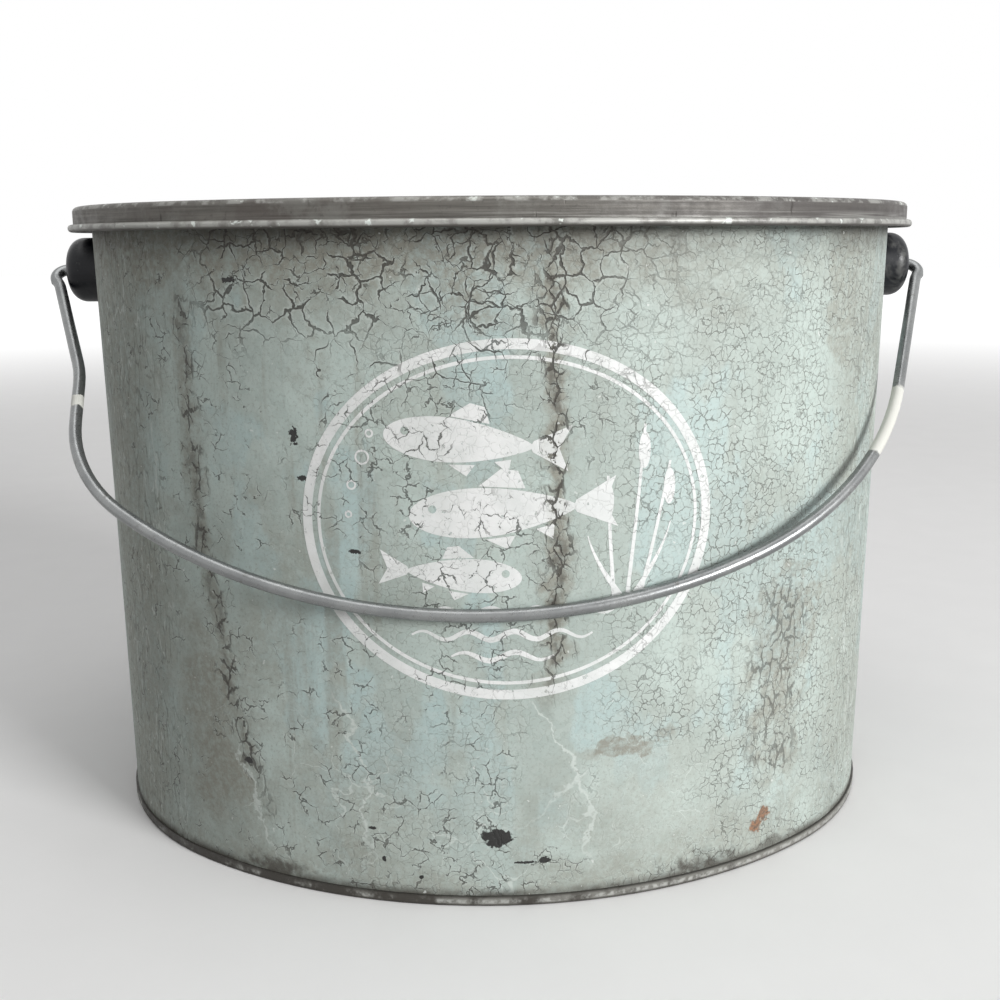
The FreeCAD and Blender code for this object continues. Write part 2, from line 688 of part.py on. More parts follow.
def drain_holes(rows):
    """Cutters for the basket's holes: evenly spaced columns square to each arc of the oval."""
    radius, pitch = float(sheet.drain_radius), float(sheet.drain_pitch)
    swing = math.atan2(SIDE_CENTRE.number, END_CENTRE.number)
    arcs = [
        (END_CENTRE.number, 0.0, END_RADIUS.number, -swing, swing),
        (0.0, -SIDE_CENTRE.number, SIDE_RADIUS.number, swing, math.pi - swing),
        (-END_CENTRE.number, 0.0, END_RADIUS.number, math.pi - swing, math.pi + swing),
        (0.0, SIDE_CENTRE.number, SIDE_RADIUS.number, math.pi + swing, 2 * math.pi - swing),
    ]
    cutters = []
    for across, along, reach, first, last in arcs:
        columns = round(reach * (last - first) / pitch)
        for column in range(columns):
            angle = first + (last - first) * (column + 0.5) / columns
            outwards = FreeCAD.Vector(math.cos(angle), math.sin(angle), 0)
            for height in rows:
                base = FreeCAD.Vector(across, along, height) + outwards * (reach - pitch)
                cutters.append(Part.makeCylinder(radius, 2 * pitch, base, outwards))
    return Part.makeCompound(cutters)


def make_basket_wall():
    """Perforated wall of the minnow basket, which hangs from the float tank."""
    body = new_body("basket_sheet")
    low, high = LINER_RISE, TANK_FLOOR - LINER_SHEET
    start, steps = section([
        (basket_side(low) - LINER_SHEET, low), (basket_side(low), low),
        (basket_side(high), high), (basket_side(high) - LINER_SHEET, high)])
    sweep_section(body, "wall", start, steps)
    cutters = doc.addObject("Part::Feature", "basket_holes")
    pitch = float(sheet.drain_pitch)
    first_row = float(sheet.liner_rise) + float(sheet.drain_start)
    highest = TANK_FLOOR.number - float(sheet.liner_lap) - float(sheet.drain_radius)
    more_rows = int((highest - first_row) / pitch)
    cutters.Shape = drain_holes([first_row + row * pitch for row in range(more_rows + 1)])
    wall = doc.addObject("Part::Cut", "basket_wall")
    wall.Base = body
    wall.Tool = cutters
    wall.Label = "basket_wall"
    return wall


def hole_grid(sketch, grid, pitch, radius):
    """Holes in rows and columns about the middle, the corners left out."""
    columns, rows = grid
    for column in range(columns):
        for row in range(rows):
            across, along = column - (columns - 1) / 2, row - (rows - 1) / 2
            corner = abs(across) == (columns - 1) / 2 and abs(along) == (rows - 1) / 2
            if not corner:
                draw_circle(sketch, pitch * across, pitch * along, radius)


def make_basket_bottom():
    """Perforated pan that closes the basket, its edge turned up inside the wall."""
    body = new_body("basket_bottom")
    low, high = LINER_RISE, LINER_RISE + size("liner_lap")
    start, steps = section([
        (pan_side(low) - LINER_SHEET, low), (pan_side(low), low),
        (pan_side(high), high), (pan_side(high) - LINER_SHEET, high)])
    sweep_section(body, "edge", start, steps)
    add_pad(body, "panel", oval_sketch(body, "outline", pan_side(low), low), LINER_SHEET)
    holes = new_sketch(body, "holes", "XY_Plane", low + LINER_SHEET)
    hole_grid(holes, DRAIN_GRID, size("drain_pitch"), size("drain_radius"))
    add_pocket(body, "drains", holes)
    return body


# The door and its hinge.
def make_door_panel():
    """Oval door with a raised rib, air holes, and holes for the knob and the hinge's rivets."""
    body = new_body("door_panel")
    add_pad(body, "plate", oval_sketch(body, "outline", DOOR_EDGE, DOOR_UNDER), size("door_sheet"))
    rib = DOOR_EDGE - size("rib_inset")
    spine = oval_sketch(body, "rib_path", 0)
    profile = new_sketch(body, "rib_round", "XZ_Plane")
    draw_circle(profile, *place(rib, (DOOR_UNDER + DOOR_TOP) / 2), size("rib_radius"))
    add_pipe(body, "rib", profile, spine)
    holes = new_sketch(body, "holes", "XY_Plane", DOOR_TOP)
    hole_grid(holes, AIR_GRID, size("air_pitch"), size("air_radius"))
    draw_circle(holes, 0, knob_y(), size("rivet_radius") + FIT_GAP)
    for across in rivet_places():
        draw_circle(holes, across, HINGE_Y - size("rivet_inset"), size("rivet_radius") + FIT_GAP)
    add_pocket(body, "openings", holes)
    return body


def knob_y():
    return -(HALF_WIDTH + DOOR_EDGE - size("knob_inset"))


def rivet_places():
    return [size("rivet_pitch") * step for step in (-1, 0, 1)]


def add_knuckle(body, name, start, length):
    """A length of rolled knuckle about the hinge pin."""
    ring = new_sketch(body, f"{name}_ring", "YZ_Plane", lift=start)
    draw_circle(ring, HINGE_Y, HINGE_Z, size("knuckle_radius"))
    draw_circle(ring, HINGE_Y, HINGE_Z, size("pin_radius") + RUN_GAP)
    add_pad(body, name, ring, length)


def make_deck_hinge_leaf():
    """Hinge leaf soldered to the deck, with a knuckle at each end."""
    body = new_body("deck_hinge_leaf")
    half, gap = size("hinge_half_length"), size("knuckle_half_length") + SEAT_GAP
    leaf = new_sketch(body, "outline", "XY_Plane", PANEL_TOP)
    draw_box(leaf, -half, HINGE_Y, half, HINGE_Y + size("deck_leaf_length"))
    add_pad(body, "leaf", leaf, size("leaf_sheet"))
    slot = new_sketch(body, "slot", "XY_Plane", PANEL_TOP + size("leaf_sheet"))
    draw_box(slot, -gap, HINGE_Y - SEAT_GAP, gap, HINGE_Y + size("knuckle_radius") + SEAT_GAP)
    add_pocket(body, "gap", slot)
    add_knuckle(body, "left_knuckle", -half, half - gap)
    add_knuckle(body, "right_knuckle", gap, half - gap)
    return body


def make_door_hinge_leaf():
    """Hinge leaf riveted to the door, with the middle knuckle."""
    body = new_body("door_hinge_leaf")
    half, bore = size("knuckle_half_length"), size("pin_radius") + RUN_GAP
    leaf = new_sketch(body, "outline", "XY_Plane", DOOR_TOP)
    draw_box(leaf, -half, HINGE_Y - size("leaf_length"), half, HINGE_Y - bore - RUN_GAP)
    for across in rivet_places():
        draw_circle(leaf, across, HINGE_Y - size("rivet_inset"), size("rivet_radius") + FIT_GAP)
    add_pad(body, "leaf", leaf, size("leaf_sheet"))
    add_knuckle(body, "knuckle", -half, half * 2)
    return body


def make_hinge_pin():
    body = new_body("hinge_pin")
    half = size("hinge_half_length")
    profile = new_sketch(body, "round", "YZ_Plane", lift=-half)
    draw_circle(profile, HINGE_Y, HINGE_Z, size("pin_radius"))
    add_pad(body, "pin", profile, half * 2)
    return body


def turned_piece(label, rim_points, across, along):
    """A piece turned about an upright axis, from (radius, height) pairs up its outside."""
    body = new_body(label)
    outline = new_sketch(body, "outline", "XZ_Plane")
    bottom, top = rim_points[0][1], rim_points[-1][1]
    steps = [Line(*point) for point in rim_points + [(0, top), (0, bottom)]]
    draw(outline, (0, bottom), steps)
    add_revolution(body, "turned", outline, "V_Axis")
    body.setExpression("Placement.Base.x", as_size(across).text)
    body.setExpression("Placement.Base.y", as_size(along).text)
    return body


def make_door_leaf_rivets():
    """Three rivets through the hinge leaf and the door."""
    shank, head, height = size("rivet_radius"), size("rivet_head"), size("rivet_height")
    leaf_top = DOOR_TOP + size("leaf_sheet")
    outline = [
        (head, DOOR_UNDER - height / 2), (head, DOOR_UNDER), (shank, DOOR_UNDER), (shank, leaf_top),
        (head, leaf_top), (size("rivet_crown"), leaf_top + height)]
    rivets = [
        turned_piece(f"rivet_{number}", outline, across, HINGE_Y - size("rivet_inset"))
        for number, across in enumerate(rivet_places())]
    group = doc.addObject("Part::Compound", "door_leaf_rivets")
    group.Links = rivets
    group.Label = "door_leaf_rivets"
    return group


def make_door_knob():
    """Turned knob, its shank peened under the door."""
    shank, stem, shoulder = size("rivet_radius"), size("knob_stem"), size("knob_shoulder")
    neck, step = DOOR_TOP + size("knob_neck"), size("knob_step")
    top = DOOR_TOP + size("knob_height")
    outline = [
        (stem, DOOR_UNDER - shank), (stem, DOOR_UNDER), (shank, DOOR_UNDER), (shank, DOOR_TOP),
        (size("knob_collar"), DOOR_TOP), (stem, neck), (shoulder, neck + step),
        (size("knob_radius"), neck + step * 2), (shoulder, top - size("knob_bevel")), (size("knob_crown"), top)]
    return turned_piece("door_knob", outline, 0, knob_y())


# The liner's lifting bail.
def make_lift_bail():
    """Wire loop that lies flat round the recess and swings up to lift the liner out."""
    body = new_body("lift_bail")
    offset, bend = -size("lift_inset"), size("lift_bend")
    end, side = END_RADIUS + offset, SIDE_RADIUS + offset
    reach = HALF_LENGTH + offset
    across = END_CENTRE + end * END_CENTRE / CENTRE_SPAN
    along = -end * SIDE_CENTRE / CENTRE_SPAN - bend
    trunnion = clip_start() - size("lift_end")
    height = PANEL_TOP + size("lift_height")
    path = new_sketch(body, "path", "XY_Plane", height)
    draw(path, (trunnion, 0), [
        Line(reach - bend, 0),
        Arc(reach, -bend, (reach - bend, -bend), bend, "right"),
        Arc(across, along, (END_CENTRE, -bend), end, "right"),
        Arc(-across, along, (0, SIDE_CENTRE - bend), side, "right"),
        Arc(-reach, -bend, (-END_CENTRE, -bend), end, "right"),
        Arc(bend - reach, 0, (bend - reach, -bend), bend, "right"),
        Line(-trunnion, 0),
    ], closed=False)
    profile = new_sketch(body, "round", "YZ_Plane", lift=trunnion)
    draw_circle(profile, 0, height, size("lift_wire_radius"))
    add_pipe(body, "wire", profile, path)
    return body


def clip_start():
    """Inner end of the saddle that holds the lifting bail."""
    return HALF_LENGTH - size("lift_inset") - size("lift_bend") - SEAT_GAP - size("clip_length")


def make_lift_clip(label):
    """Saddle soldered to the deck over one end of the lifting bail."""
    body = new_body(label)
    bore = size("lift_wire_radius") + RUN_GAP
    arch = bore + size("clip_wall")
    foot, metal = size("clip_half_width"), size("leaf_sheet")
    axis = PANEL_TOP + size("lift_height")
    outline = new_sketch(body, "outline", "YZ_Plane", lift=clip_start())
    draw(outline, (-foot, PANEL_TOP), [
        Line(foot, PANEL_TOP),
        Line(foot, PANEL_TOP + metal),
        Line(arch, PANEL_TOP + metal),
        Line(arch, axis),
        Arc(0, axis + arch, (0, axis), arch, "left"),
        Arc(-arch, axis, (0, axis), arch, "left"),
        Line(-arch, PANEL_TOP + metal),
        Line(-foot, PANEL_TOP + metal),
        Line(-foot, PANEL_TOP),
    ])
    draw_circle(outline, 0, axis, bore)
    add_pad(body, "saddle", outline, size("clip_length"))
    return body


def make_nodes():
    """Every separate piece of the bucket."""
    return [
        make_pail_wall(),
        make_pail_rim_wire(),
        make_pail_bottom(),
        make_bail_ear("right_bail_ear"),
        half_turned(make_bail_ear("left_bail_ear")),
        make_bail_wire(),
        make_liner_deck(),
        make_tank_wall(),
        make_tank_sleeve(),
        make_tank_floor(),
        make_basket_wall(),
        make_basket_bottom(),
        make_door_panel(),
        make_deck_hinge_leaf(),
        make_door_hinge_leaf(),
        make_hinge_pin(),
        make_door_leaf_rivets(),
        make_door_knob(),
        make_lift_bail(),
        make_lift_clip("right_lift_clip"),
        half_turned(make_lift_clip("left_lift_clip")),
    ]


def check_and_write(nodes):
    """Stops on a failed object or a bad shape, then writes one file for each piece."""
    for item in doc.Objects:
        if "Invalid" in item.State or "Error" in item.State:
            raise RuntimeError(f"{item.Name} failed: {item.State}")
    for node in nodes:
        if node.Shape.isNull() or not node.Shape.isValid():
            raise RuntimeError(f"{node.Label} has a bad shape")
    os.makedirs("parts", exist_ok=True)
    for node in nodes:
        node.Shape.exportStep(f"parts/{node.Label}.step")
        print(f"{node.Label}: {len(node.Shape.Solids)} solid, {node.Shape.Volume:.0f} mm3")


made = make_nodes()
doc.recompute()
check_and_write(made)
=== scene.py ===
"""Looks of the oval minnow bucket: crazed mint paint, tarnished deck, galvanised liner, studio light."""
import json
import math
import bmesh
import bpy
from mathutils import Matrix, Vector


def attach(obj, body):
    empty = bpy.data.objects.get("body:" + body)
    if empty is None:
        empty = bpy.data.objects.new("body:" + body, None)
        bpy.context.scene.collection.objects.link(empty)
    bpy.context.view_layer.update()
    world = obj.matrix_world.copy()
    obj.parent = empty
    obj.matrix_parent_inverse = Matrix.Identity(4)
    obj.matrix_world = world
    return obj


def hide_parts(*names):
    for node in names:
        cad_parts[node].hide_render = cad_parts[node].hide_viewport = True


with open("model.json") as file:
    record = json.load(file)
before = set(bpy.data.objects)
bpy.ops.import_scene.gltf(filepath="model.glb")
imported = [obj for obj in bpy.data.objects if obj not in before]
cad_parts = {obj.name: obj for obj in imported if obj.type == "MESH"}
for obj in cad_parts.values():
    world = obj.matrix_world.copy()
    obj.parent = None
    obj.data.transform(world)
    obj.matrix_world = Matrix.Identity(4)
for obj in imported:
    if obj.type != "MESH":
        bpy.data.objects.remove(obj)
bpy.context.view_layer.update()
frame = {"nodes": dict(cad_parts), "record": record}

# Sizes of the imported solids, in metres.
HALF_LENGTH = 0.1204
HALF_WIDTH = 0.0993
END_RADIUS = 0.088
SIDE_RADIUS = ((HALF_LENGTH ** 2 + HALF_WIDTH ** 2 - 2 * HALF_LENGTH * END_RADIUS)
               / (2 * (HALF_WIDTH - END_RADIUS)))
END_CENTRE = HALF_LENGTH - END_RADIUS
SIDE_CENTRE = SIDE_RADIUS - HALF_WIDTH
END_SWING = math.atan2(SIDE_CENTRE, END_CENTRE)
SIDE_TURN = math.pi / 2 - END_SWING
SIDE_RUN = SIDE_RADIUS * SIDE_TURN
HALF_ROUND = 2 * SIDE_RUN + END_RADIUS * 2 * END_SWING
WALL_TAPER = 0.0018
PAIL_SHEET = 0.0006
RIM_CENTRE = 0.1782
RIM_BORE = 0.00155
FOOT = 0.00065
FOLD_WIDTH = 0.007
FOLD_PROUD = 0.0007
FOLD_LOW = 0.0031
FOLD_HIGH = 0.1757
FOLD_CUTS = 40
MERGE = 0.000002
SHARP_ANGLE = math.radians(35)

# The print on the front: its middle, along the wall and up, how far it stands off the paint, its cuts.
PRINT_MIDDLE = (0.001, 0.103)
PRINT_PROUD = 0.00005
EYE_PROUD = 0.00009
PRINT_CUT = 0.003
PRINT_CUTS = (((1, 0, 0), 20), ((0, 1, 0), 18))

# Rings of the print: half width and half height, width of the line.
PRINT_RINGS = [
    ((0.053, 0.0455), 0.0026),
    ((0.049, 0.0415), 0.0009),
]

# Fish of the print: middle, length, turn in degrees, heading (1 is left).
PRINT_FISH = [
    ((-0.008, 0.0205), 0.046, -5, 1),
    ((0.001, 0.0035), 0.052, 3, 1),
    ((-0.015, -0.0125), 0.036, -4, -1),
]

# One fish of unit length, from its middle: half length and middle of the body, its half depth at the nose
# and what that loses to the tail, corners of the tail and the fins, place of the eye.
FISH_BODY = (0.4, -0.1, 0.135, 0.075)
FISH_TAIL = [(0.285, 0.0), (0.3, 0.03), (0.5, 0.13), (0.44, 0.0), (0.5, -0.12), (0.3, -0.03)]
FISH_FINS = [
    [(-0.16, 0.128), (-0.05, 0.205), (0.03, 0.19), (0.06, 0.104)],
    [(-0.14, -0.13), (-0.04, -0.185), (0.0, -0.121)],
    [(0.1, -0.096), (0.18, -0.15), (0.19, -0.076)],
]
FISH_EYE = (-0.385, 0.028)
EYE_REACH = 0.001

# Ripples: middle, length, crests; then their swell, width, share of it at the tips, steps a crest.
PRINT_RIPPLES = [
    ((-0.002, -0.0225), 0.058, 5),
    ((-0.002, -0.0285), 0.046, 4),
    ((-0.002, -0.034), 0.026, 2),
]
RIPPLE_SWELL = 0.0011
RIPPLE_WIDTH = 0.0015
RIPPLE_TIP = 0.35
RIPPLE_STEPS = 12

# Reeds: foot and tip along the wall, bow, height of the head; then what all the reeds share.
PRINT_REEDS = [
    (0.03, 0.033, 0.001, 0.0175),
    (0.0335, 0.0395, 0.0015, 0.008),
    (0.0265, 0.0255, -0.001, 0.005),
]
REED_FOOT = -0.02
REED_POINT = 0.0065
REED_HEAD = (0.0016, 0.0046)
REED_HEAD_BOW = 0.97
REED_WIDTHS = (0.0011, 0.0007)

# Blades beside the reeds: foot, tip, bow; then their widths at the foot and the tip, steps of any stem.
PRINT_BLADES = [
    ((0.0318, -0.0195), (0.0365, -0.001), 0.005),
    ((0.0282, -0.0195), (0.024, -0.0035), -0.0045),
]
BLADE_WIDTHS = (0.0016, 0.0003)
STEM_STEPS = 16

# Bubbles: middle and radius; then the width of their line.
PRINT_BUBBLES = [
    ((-0.0365, 0.0165), 0.0019),
    ((-0.0395, 0.0095), 0.0013),
    ((-0.0345, 0.0225), 0.0011),
    ((-0.0405, 0.002), 0.001),
]
BUBBLE_LINE = 0.0005

# Shallow dents of the wall: angle round the pail, height, half width along the wall, half height, depth.
DENTS = [
    (218, 0.12, 0.01, 0.06, 0.0005),
    (229, 0.06, 0.013, 0.05, -0.00035),
    (252, 0.04, 0.02, 0.028, 0.0004),
    (298, 0.048, 0.016, 0.03, 0.00035),
    (322, 0.07, 0.012, 0.045, 0.00045),
    (20, 0.09, 0.025, 0.04, 0.0004),
    (75, 0.05, 0.022, 0.03, 0.00045),
    (118, 0.1, 0.018, 0.045, -0.0003),
    (160, 0.06, 0.02, 0.05, 0.0004),
    (196, 0.095, 0.014, 0.05, 0.00035),
]

# The photograph's view: lens and sensor in millimetres, shift, place in metres, turns in degrees.
LENS = 42.557
SENSOR = 36.0
FRAME_SHIFT = -0.0172
CAMERA_PLACE = (-0.01119, -0.37946, 0.17114)
CAMERA_TURN = -2.0
CAMERA_TILT = 90 - 11.585
CAMERA_ROLL = -0.386

# Soft square lamps: name, azimuth from the front towards the right, elevation, distance, width, power.
LAMPS = [
    ("key", 46, 16, 3.0, 1.0, 86.0),
    ("overhead", 0, 82, 2.0, 1.6, 14.0),
]
LAMP_AIM = Vector((0, 0, 0.09))


# Mesh helpers.
def wall_lean(height):
    return WALL_TAPER * (height / RIM_CENTRE - 1)


def wall_normal(point):
    """Outward direction of the oval beside a point, square to its end or side arc."""
    across, along = abs(point.x), abs(point.y)
    if math.atan2(along, across - END_CENTRE) < END_SWING:
        normal = Vector((across - END_CENTRE, along, 0))
    else:
        normal = Vector((across, along + SIDE_CENTRE, 0))
    normal.normalize()
    return Vector((math.copysign(normal.x, point.x), math.copysign(normal.y, point.y), 0))


def dent_depth(point):
    """How far the wall is pushed in at a point."""
    depth = 0.0
    for angle, height, width, tall, push in DENTS:
        aim = Vector((math.cos(math.radians(angle)), math.sin(math.radians(angle)), 0))
        side = Vector((-aim.y, aim.x, 0))
        if point.x * aim.x + point.y * aim.y > 0:
            across = (point.x * side.x + point.y * side.y) / width
            up = (point.z - height) / tall
            depth += push * math.exp(-across * across - up * up)
    return depth


def run_round(point, side):
    """Length along the wall from the front's middle to a point, round by the right (1) or left (-1)."""
    across, along = side * point.x, point.y
    end_angle = math.atan2(across - END_CENTRE, -along)
    if SIDE_TURN <= end_angle <= math.pi - SIDE_TURN:
        return SIDE_RUN + END_RADIUS * (end_angle - SIDE_TURN)
    run = SIDE_RADIUS * math.atan2(across, SIDE_CENTRE + abs(along))
    return run if along < 0 else HALF_ROUND - run


def on_front(run, height, proud):
    """The place on the dented front wall at a length along it and a height."""
    angle = run / SIDE_RADIUS
    normal = Vector((math.sin(angle), -math.cos(angle), 0))
    point = normal * (SIDE_RADIUS + wall_lean(height)) + Vector((0, SIDE_CENTRE, height))
    return point + normal * (proud - dent_depth(point))


class Section:
    """A bent-sheet section at the right-hand end of the oval, drawn by straight runs and bends."""

    def __init__(self, mesh, offset, height):
        self.mesh = mesh
        self.tip = mesh.verts.new((HALF_LENGTH + offset, 0, height))

    def straight(self, offset, height, runs=1):
        start = self.tip.co.copy()
        end = Vector((HALF_LENGTH + offset, 0, height))
        for run in range(1, runs + 1):
            self.tip = bmesh.ops.extrude_vert_indiv(self.mesh, verts=[self.tip])["verts"][0]
            self.tip.co = start.lerp(end, run / runs)

    def bend(self, offset, height, degrees, steps):
        centre = (HALF_LENGTH + offset, 0, height)
        made = bmesh.ops.spin(self.mesh, geom=[self.tip], cent=centre, axis=(0, 1, 0),
                              angle=math.radians(degrees), steps=steps)
        self.tip = [item for item in made["geom_last"] if isinstance(item, bmesh.types.BMVert)][0]


def spin_round_oval(mesh, end_steps, side_steps):
    """Carries the drawn section round the two end arcs and the two side arcs."""
    arcs = [
        ((END_CENTRE, 0, 0), 2 * END_SWING, end_steps),
        ((0, -SIDE_CENTRE, 0), 2 * SIDE_TURN, side_steps),
        ((-END_CENTRE, 0, 0), 2 * END_SWING, end_steps),
        ((0, SIDE_CENTRE, 0), 2 * SIDE_TURN, side_steps),
    ]
    bmesh.ops.rotate(mesh, verts=mesh.verts, cent=arcs[0][0], matrix=Matrix.Rotation(-END_SWING, 3, "Z"))
    strip = mesh.verts[:] + mesh.edges[:]
    for centre, angle, steps in arcs:
        swept = bmesh.ops.spin(mesh, geom=strip, cent=centre, axis=(0, 0, 1), angle=angle, steps=steps)
        strip = swept["geom_last"]
    bmesh.ops.remove_doubles(mesh, verts=mesh.verts, dist=MERGE)
    bmesh.ops.recalc_face_normals(mesh, faces=mesh.faces)


def mark_unrolled(mesh):
    """Keeps each corner's length along the wall, height, and whether it is inside, for the paint."""
    layer = mesh.loops.layers.float_vector.new("unrolled")
    for face in mesh.faces:
        middle = face.calc_center_median()
        side = math.copysign(1.0, middle.x)
        inner = 1.0 if face.normal.dot(wall_normal(middle)) < -0.5 else 0.0
        for loop in face.loops:
            point = loop.vert.co
            loop[layer] = (side * run_round(point, side), point.z, inner)


def add_object(mesh, name, material):
    """Turns a finished bmesh into an object of the scene."""
    data = bpy.data.meshes.new(name)
    mesh.to_mesh(data)
    mesh.free()
    data.materials.append(material)
    item = bpy.data.objects.new(name, data)
    bpy.context.scene.collection.objects.link(item)
    return item


def finish_piece(mesh, name, material):
    """Turns a finished bmesh into a piece that rides on the pail."""
    for face in mesh.faces:
        face.smooth = True
    for edge in mesh.edges:
        if len(edge.link_faces) == 2 and edge.calc_face_angle(0) > SHARP_ANGLE:
            edge.smooth = False
    piece = add_object(mesh, name, material)
    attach(piece, "pail")
    return piece


# Shader helpers.
def join(value, socket):
    """Links a socket to another's output, or sets it to a plain value."""
    if isinstance(value, bpy.types.NodeSocket):
        value.id_data.links.new(value, socket)
    else:
        socket.default_value = value


def put(tree, kind, inputs=None, **settings):
    """Adds a node, sets it up and joins its inputs."""
    node = tree.nodes.new(kind)
    for name, value in settings.items():
        setattr(node, name, value)
    for key, value in (inputs or {}).items():
        join(value, node.inputs[key])
    return node


def feed(kind, inputs, **settings):
    """Adds a node to the tree that its inputs come from."""
    source = next(value for value in inputs.values() if isinstance(value, bpy.types.NodeSocket))
    return put(source.id_data, kind, inputs, **settings)


def calc(operation, first, second=0.0):
    return feed("ShaderNodeMath", {0: first, 1: second}, operation=operation).outputs[0]


def plus(first, second):
    return calc("ADD", first, second)


def minus(first, second):
    return calc("SUBTRACT", first, second)


def times(first, *others):
    for other in others:
        first = calc("MULTIPLY", first, other)
    return first


def most(first, *others):
    for other in others:
        first = calc("MAXIMUM", first, other)
    return first


def ease(value, low, high, start=0.0, end=1.0):
    """A smooth rise from start to end as the value goes from low to high."""
    node = feed("ShaderNodeMapRange", {0: value, 1: low, 2: high, 3: start, 4: end},
               interpolation_type="SMOOTHSTEP")
    return node.outputs[0]


def tint(share, first, second):
    """A colour between two, by a share."""
    ends = [end if isinstance(end, bpy.types.NodeSocket) else (*end, 1.0) for end in (first, second)]
    return feed("ShaderNodeMix", {0: share, 6: ends[0], 7: ends[1]}, data_type="RGBA").outputs[2]


def vector_calc(operation, first, second):
    return feed("ShaderNodeVectorMath", {0: first, 1: second}, operation=operation).outputs[0]


def scaled(vector, factors):
    return vector_calc("MULTIPLY", vector, factors)


def noise(vector, scale, detail=3.0, roughness=0.55, distortion=0.0, room="3D"):
    inputs = {"Vector": vector, "Scale": scale, "Detail": detail, "Roughness": roughness,
              "Distortion": distortion}
    return feed("ShaderNodeTexNoise", inputs, noise_dimensions=room).outputs[0]


def flat_noise(vector, scale, detail=3.0, roughness=0.55):
    """Noise on the unrolled wall."""
    return noise(vector, scale, detail, roughness, room="2D")


def flat_wander(vector, scale):
    """A wandering shift on the unrolled wall, about nought."""
    inputs = {"Vector": vector, "Scale": scale, "Detail": 2.0, "Roughness": 0.6}
    node = feed("ShaderNodeTexNoise", inputs, noise_dimensions="2D")
    return vector_calc("SUBTRACT", node.outputs[1], (0.5, 0.5, 0.5))


def axes(vector):
    return feed("ShaderNodeSeparateXYZ", {0: vector}).outputs


def start_group(name, inputs, outputs):
    """A new shader group: its tree, the inputs it is given and the outputs to join."""
    tree = bpy.data.node_groups.new(name, "ShaderNodeTree")
    for label in inputs:
        kind = "NodeSocketVector" if label in ("Vector", "Place", "Size") else "NodeSocketFloat"
        tree.interface.new_socket(name=label, in_out="INPUT", socket_type=kind)
    for label in outputs:
        tree.interface.new_socket(name=label, in_out="OUTPUT", socket_type="NodeSocketFloat")
    return tree, tree.nodes.new("NodeGroupInput").outputs, tree.nodes.new("NodeGroupOutput").inputs


def use(group, inputs):
    """Places a group and gives its outputs."""
    return feed("ShaderNodeGroup", inputs, node_tree=group).outputs


def start_material(name, unrolled=False):
    """A new material, its shader, and its Object coordinates or its place on the unrolled wall."""
    material = bpy.data.materials.new(name)
    material.use_nodes = True
    tree = material.node_tree
    shader = tree.nodes["Principled BSDF"]
    if unrolled:
        place = put(tree, "ShaderNodeAttribute", attribute_name="unrolled").outputs["Vector"]
    else:
        place = put(tree, "ShaderNodeTexCoord").outputs["Object"]
    return material, shader, place


def finish_material(shader, colour, roughness, height, depth, metallic=0.0):
    """Joins colour, roughness and relief to the shader; depth is the relief's full height in metres."""
    join(colour, shader.inputs["Base Color"])
    join(roughness, shader.inputs["Roughness"])
    bump = feed("ShaderNodeBump", {"Height": height, "Distance": depth, "Strength": 1.0})
    join(bump.outputs[0], shader.inputs["Normal"])
    join(metallic, shader.inputs["Metallic"])


# Shared effects.
def make_crackle_group():
    """A net of jagged crack lines over a flat sheet, broken in places, with pale edges beside them that
    are painted highlights of the lifted paint, and flakes.
    """
    inputs = ["Vector", "Scale", "Width", "Warp", "Break"]
    tree, given, out = start_group("crackle", inputs, ["Line", "Rim_highlight", "Flake"])
    place, scale, width, warp, gaps = given[:5]
    vector = place
    for fineness, share in ((0.5, 1.5), (2.1, 0.55)):
        wander = flat_wander(place, times(scale, fineness))
        reach = calc("DIVIDE", times(warp, share), scale)
        bent = feed("ShaderNodeVectorMath", {0: wander, 3: reach}, operation="SCALE").outputs[0]
        vector = vector_calc("ADD", vector, bent)
    edge = feed("ShaderNodeTexVoronoi", {"Vector": vector, "Scale": scale},
                voronoi_dimensions="2D", feature="DISTANCE_TO_EDGE").outputs["Distance"]
    uneven = flat_noise(place, times(scale, 0.6), 2.0)
    width = times(width, ease(uneven, gaps, plus(gaps, 0.26), 0.01, 1.4))
    away = calc("DIVIDE", edge, width)
    line = ease(away, 0.4, 1.0, 1.0, 0.0)
    # Pale edge beside each line: a painted highlight where the paint lifts.
    rim = times(ease(away, 0.8, 1.2), ease(away, 2.8, 1.5))
    flake = feed("ShaderNodeTexVoronoi", {"Vector": vector, "Scale": scale},
                 voronoi_dimensions="2D").outputs["Color"]
    join(line, out["Line"])
    join(rim, out["Rim_highlight"])
    join(feed("ShaderNodeSeparateColor", {0: flake}).outputs[0], out["Flake"])
    return tree


def make_patch_group(name, room):
    """Uneven patches that cover about a given share of the surface."""
    tree, given, out = start_group(name, ["Vector", "Scale", "Cover", "Edge", "Detail"], ["Mask"])
    place, scale, cover, edge, detail = given[:5]
    field = noise(place, scale, detail, 0.6, room=room)
    middle = minus(0.69, times(cover, 0.38))
    low = minus(middle, edge)
    high = plus(middle, edge)
    join(ease(field, low, high), out["Mask"])
    return tree


def make_spot_group(name, room):
    """One ragged spot about a place."""
    tree, given, out = start_group(name, ["Vector", "Place", "Size", "Ragged", "Grain", "Edge"], ["Mask"])
    vector, place, size, ragged, grain, edge = given[:6]
    away = vector_calc("DIVIDE", vector_calc("SUBTRACT", vector, place), size)
    reach = feed("ShaderNodeVectorMath", {0: away}, operation="LENGTH").outputs["Value"]
    rough = minus(noise(vector, grain, 3.0, room=room), 0.5)
    reach = plus(reach, times(rough, ragged))
    join(ease(reach, minus(1.0, edge), 1.0, 1.0, 0.0), out["Mask"])
    return tree


RUN_INPUTS = ("Across", "Top", "Low", "Width", "Lean", "Curve", "Crook")


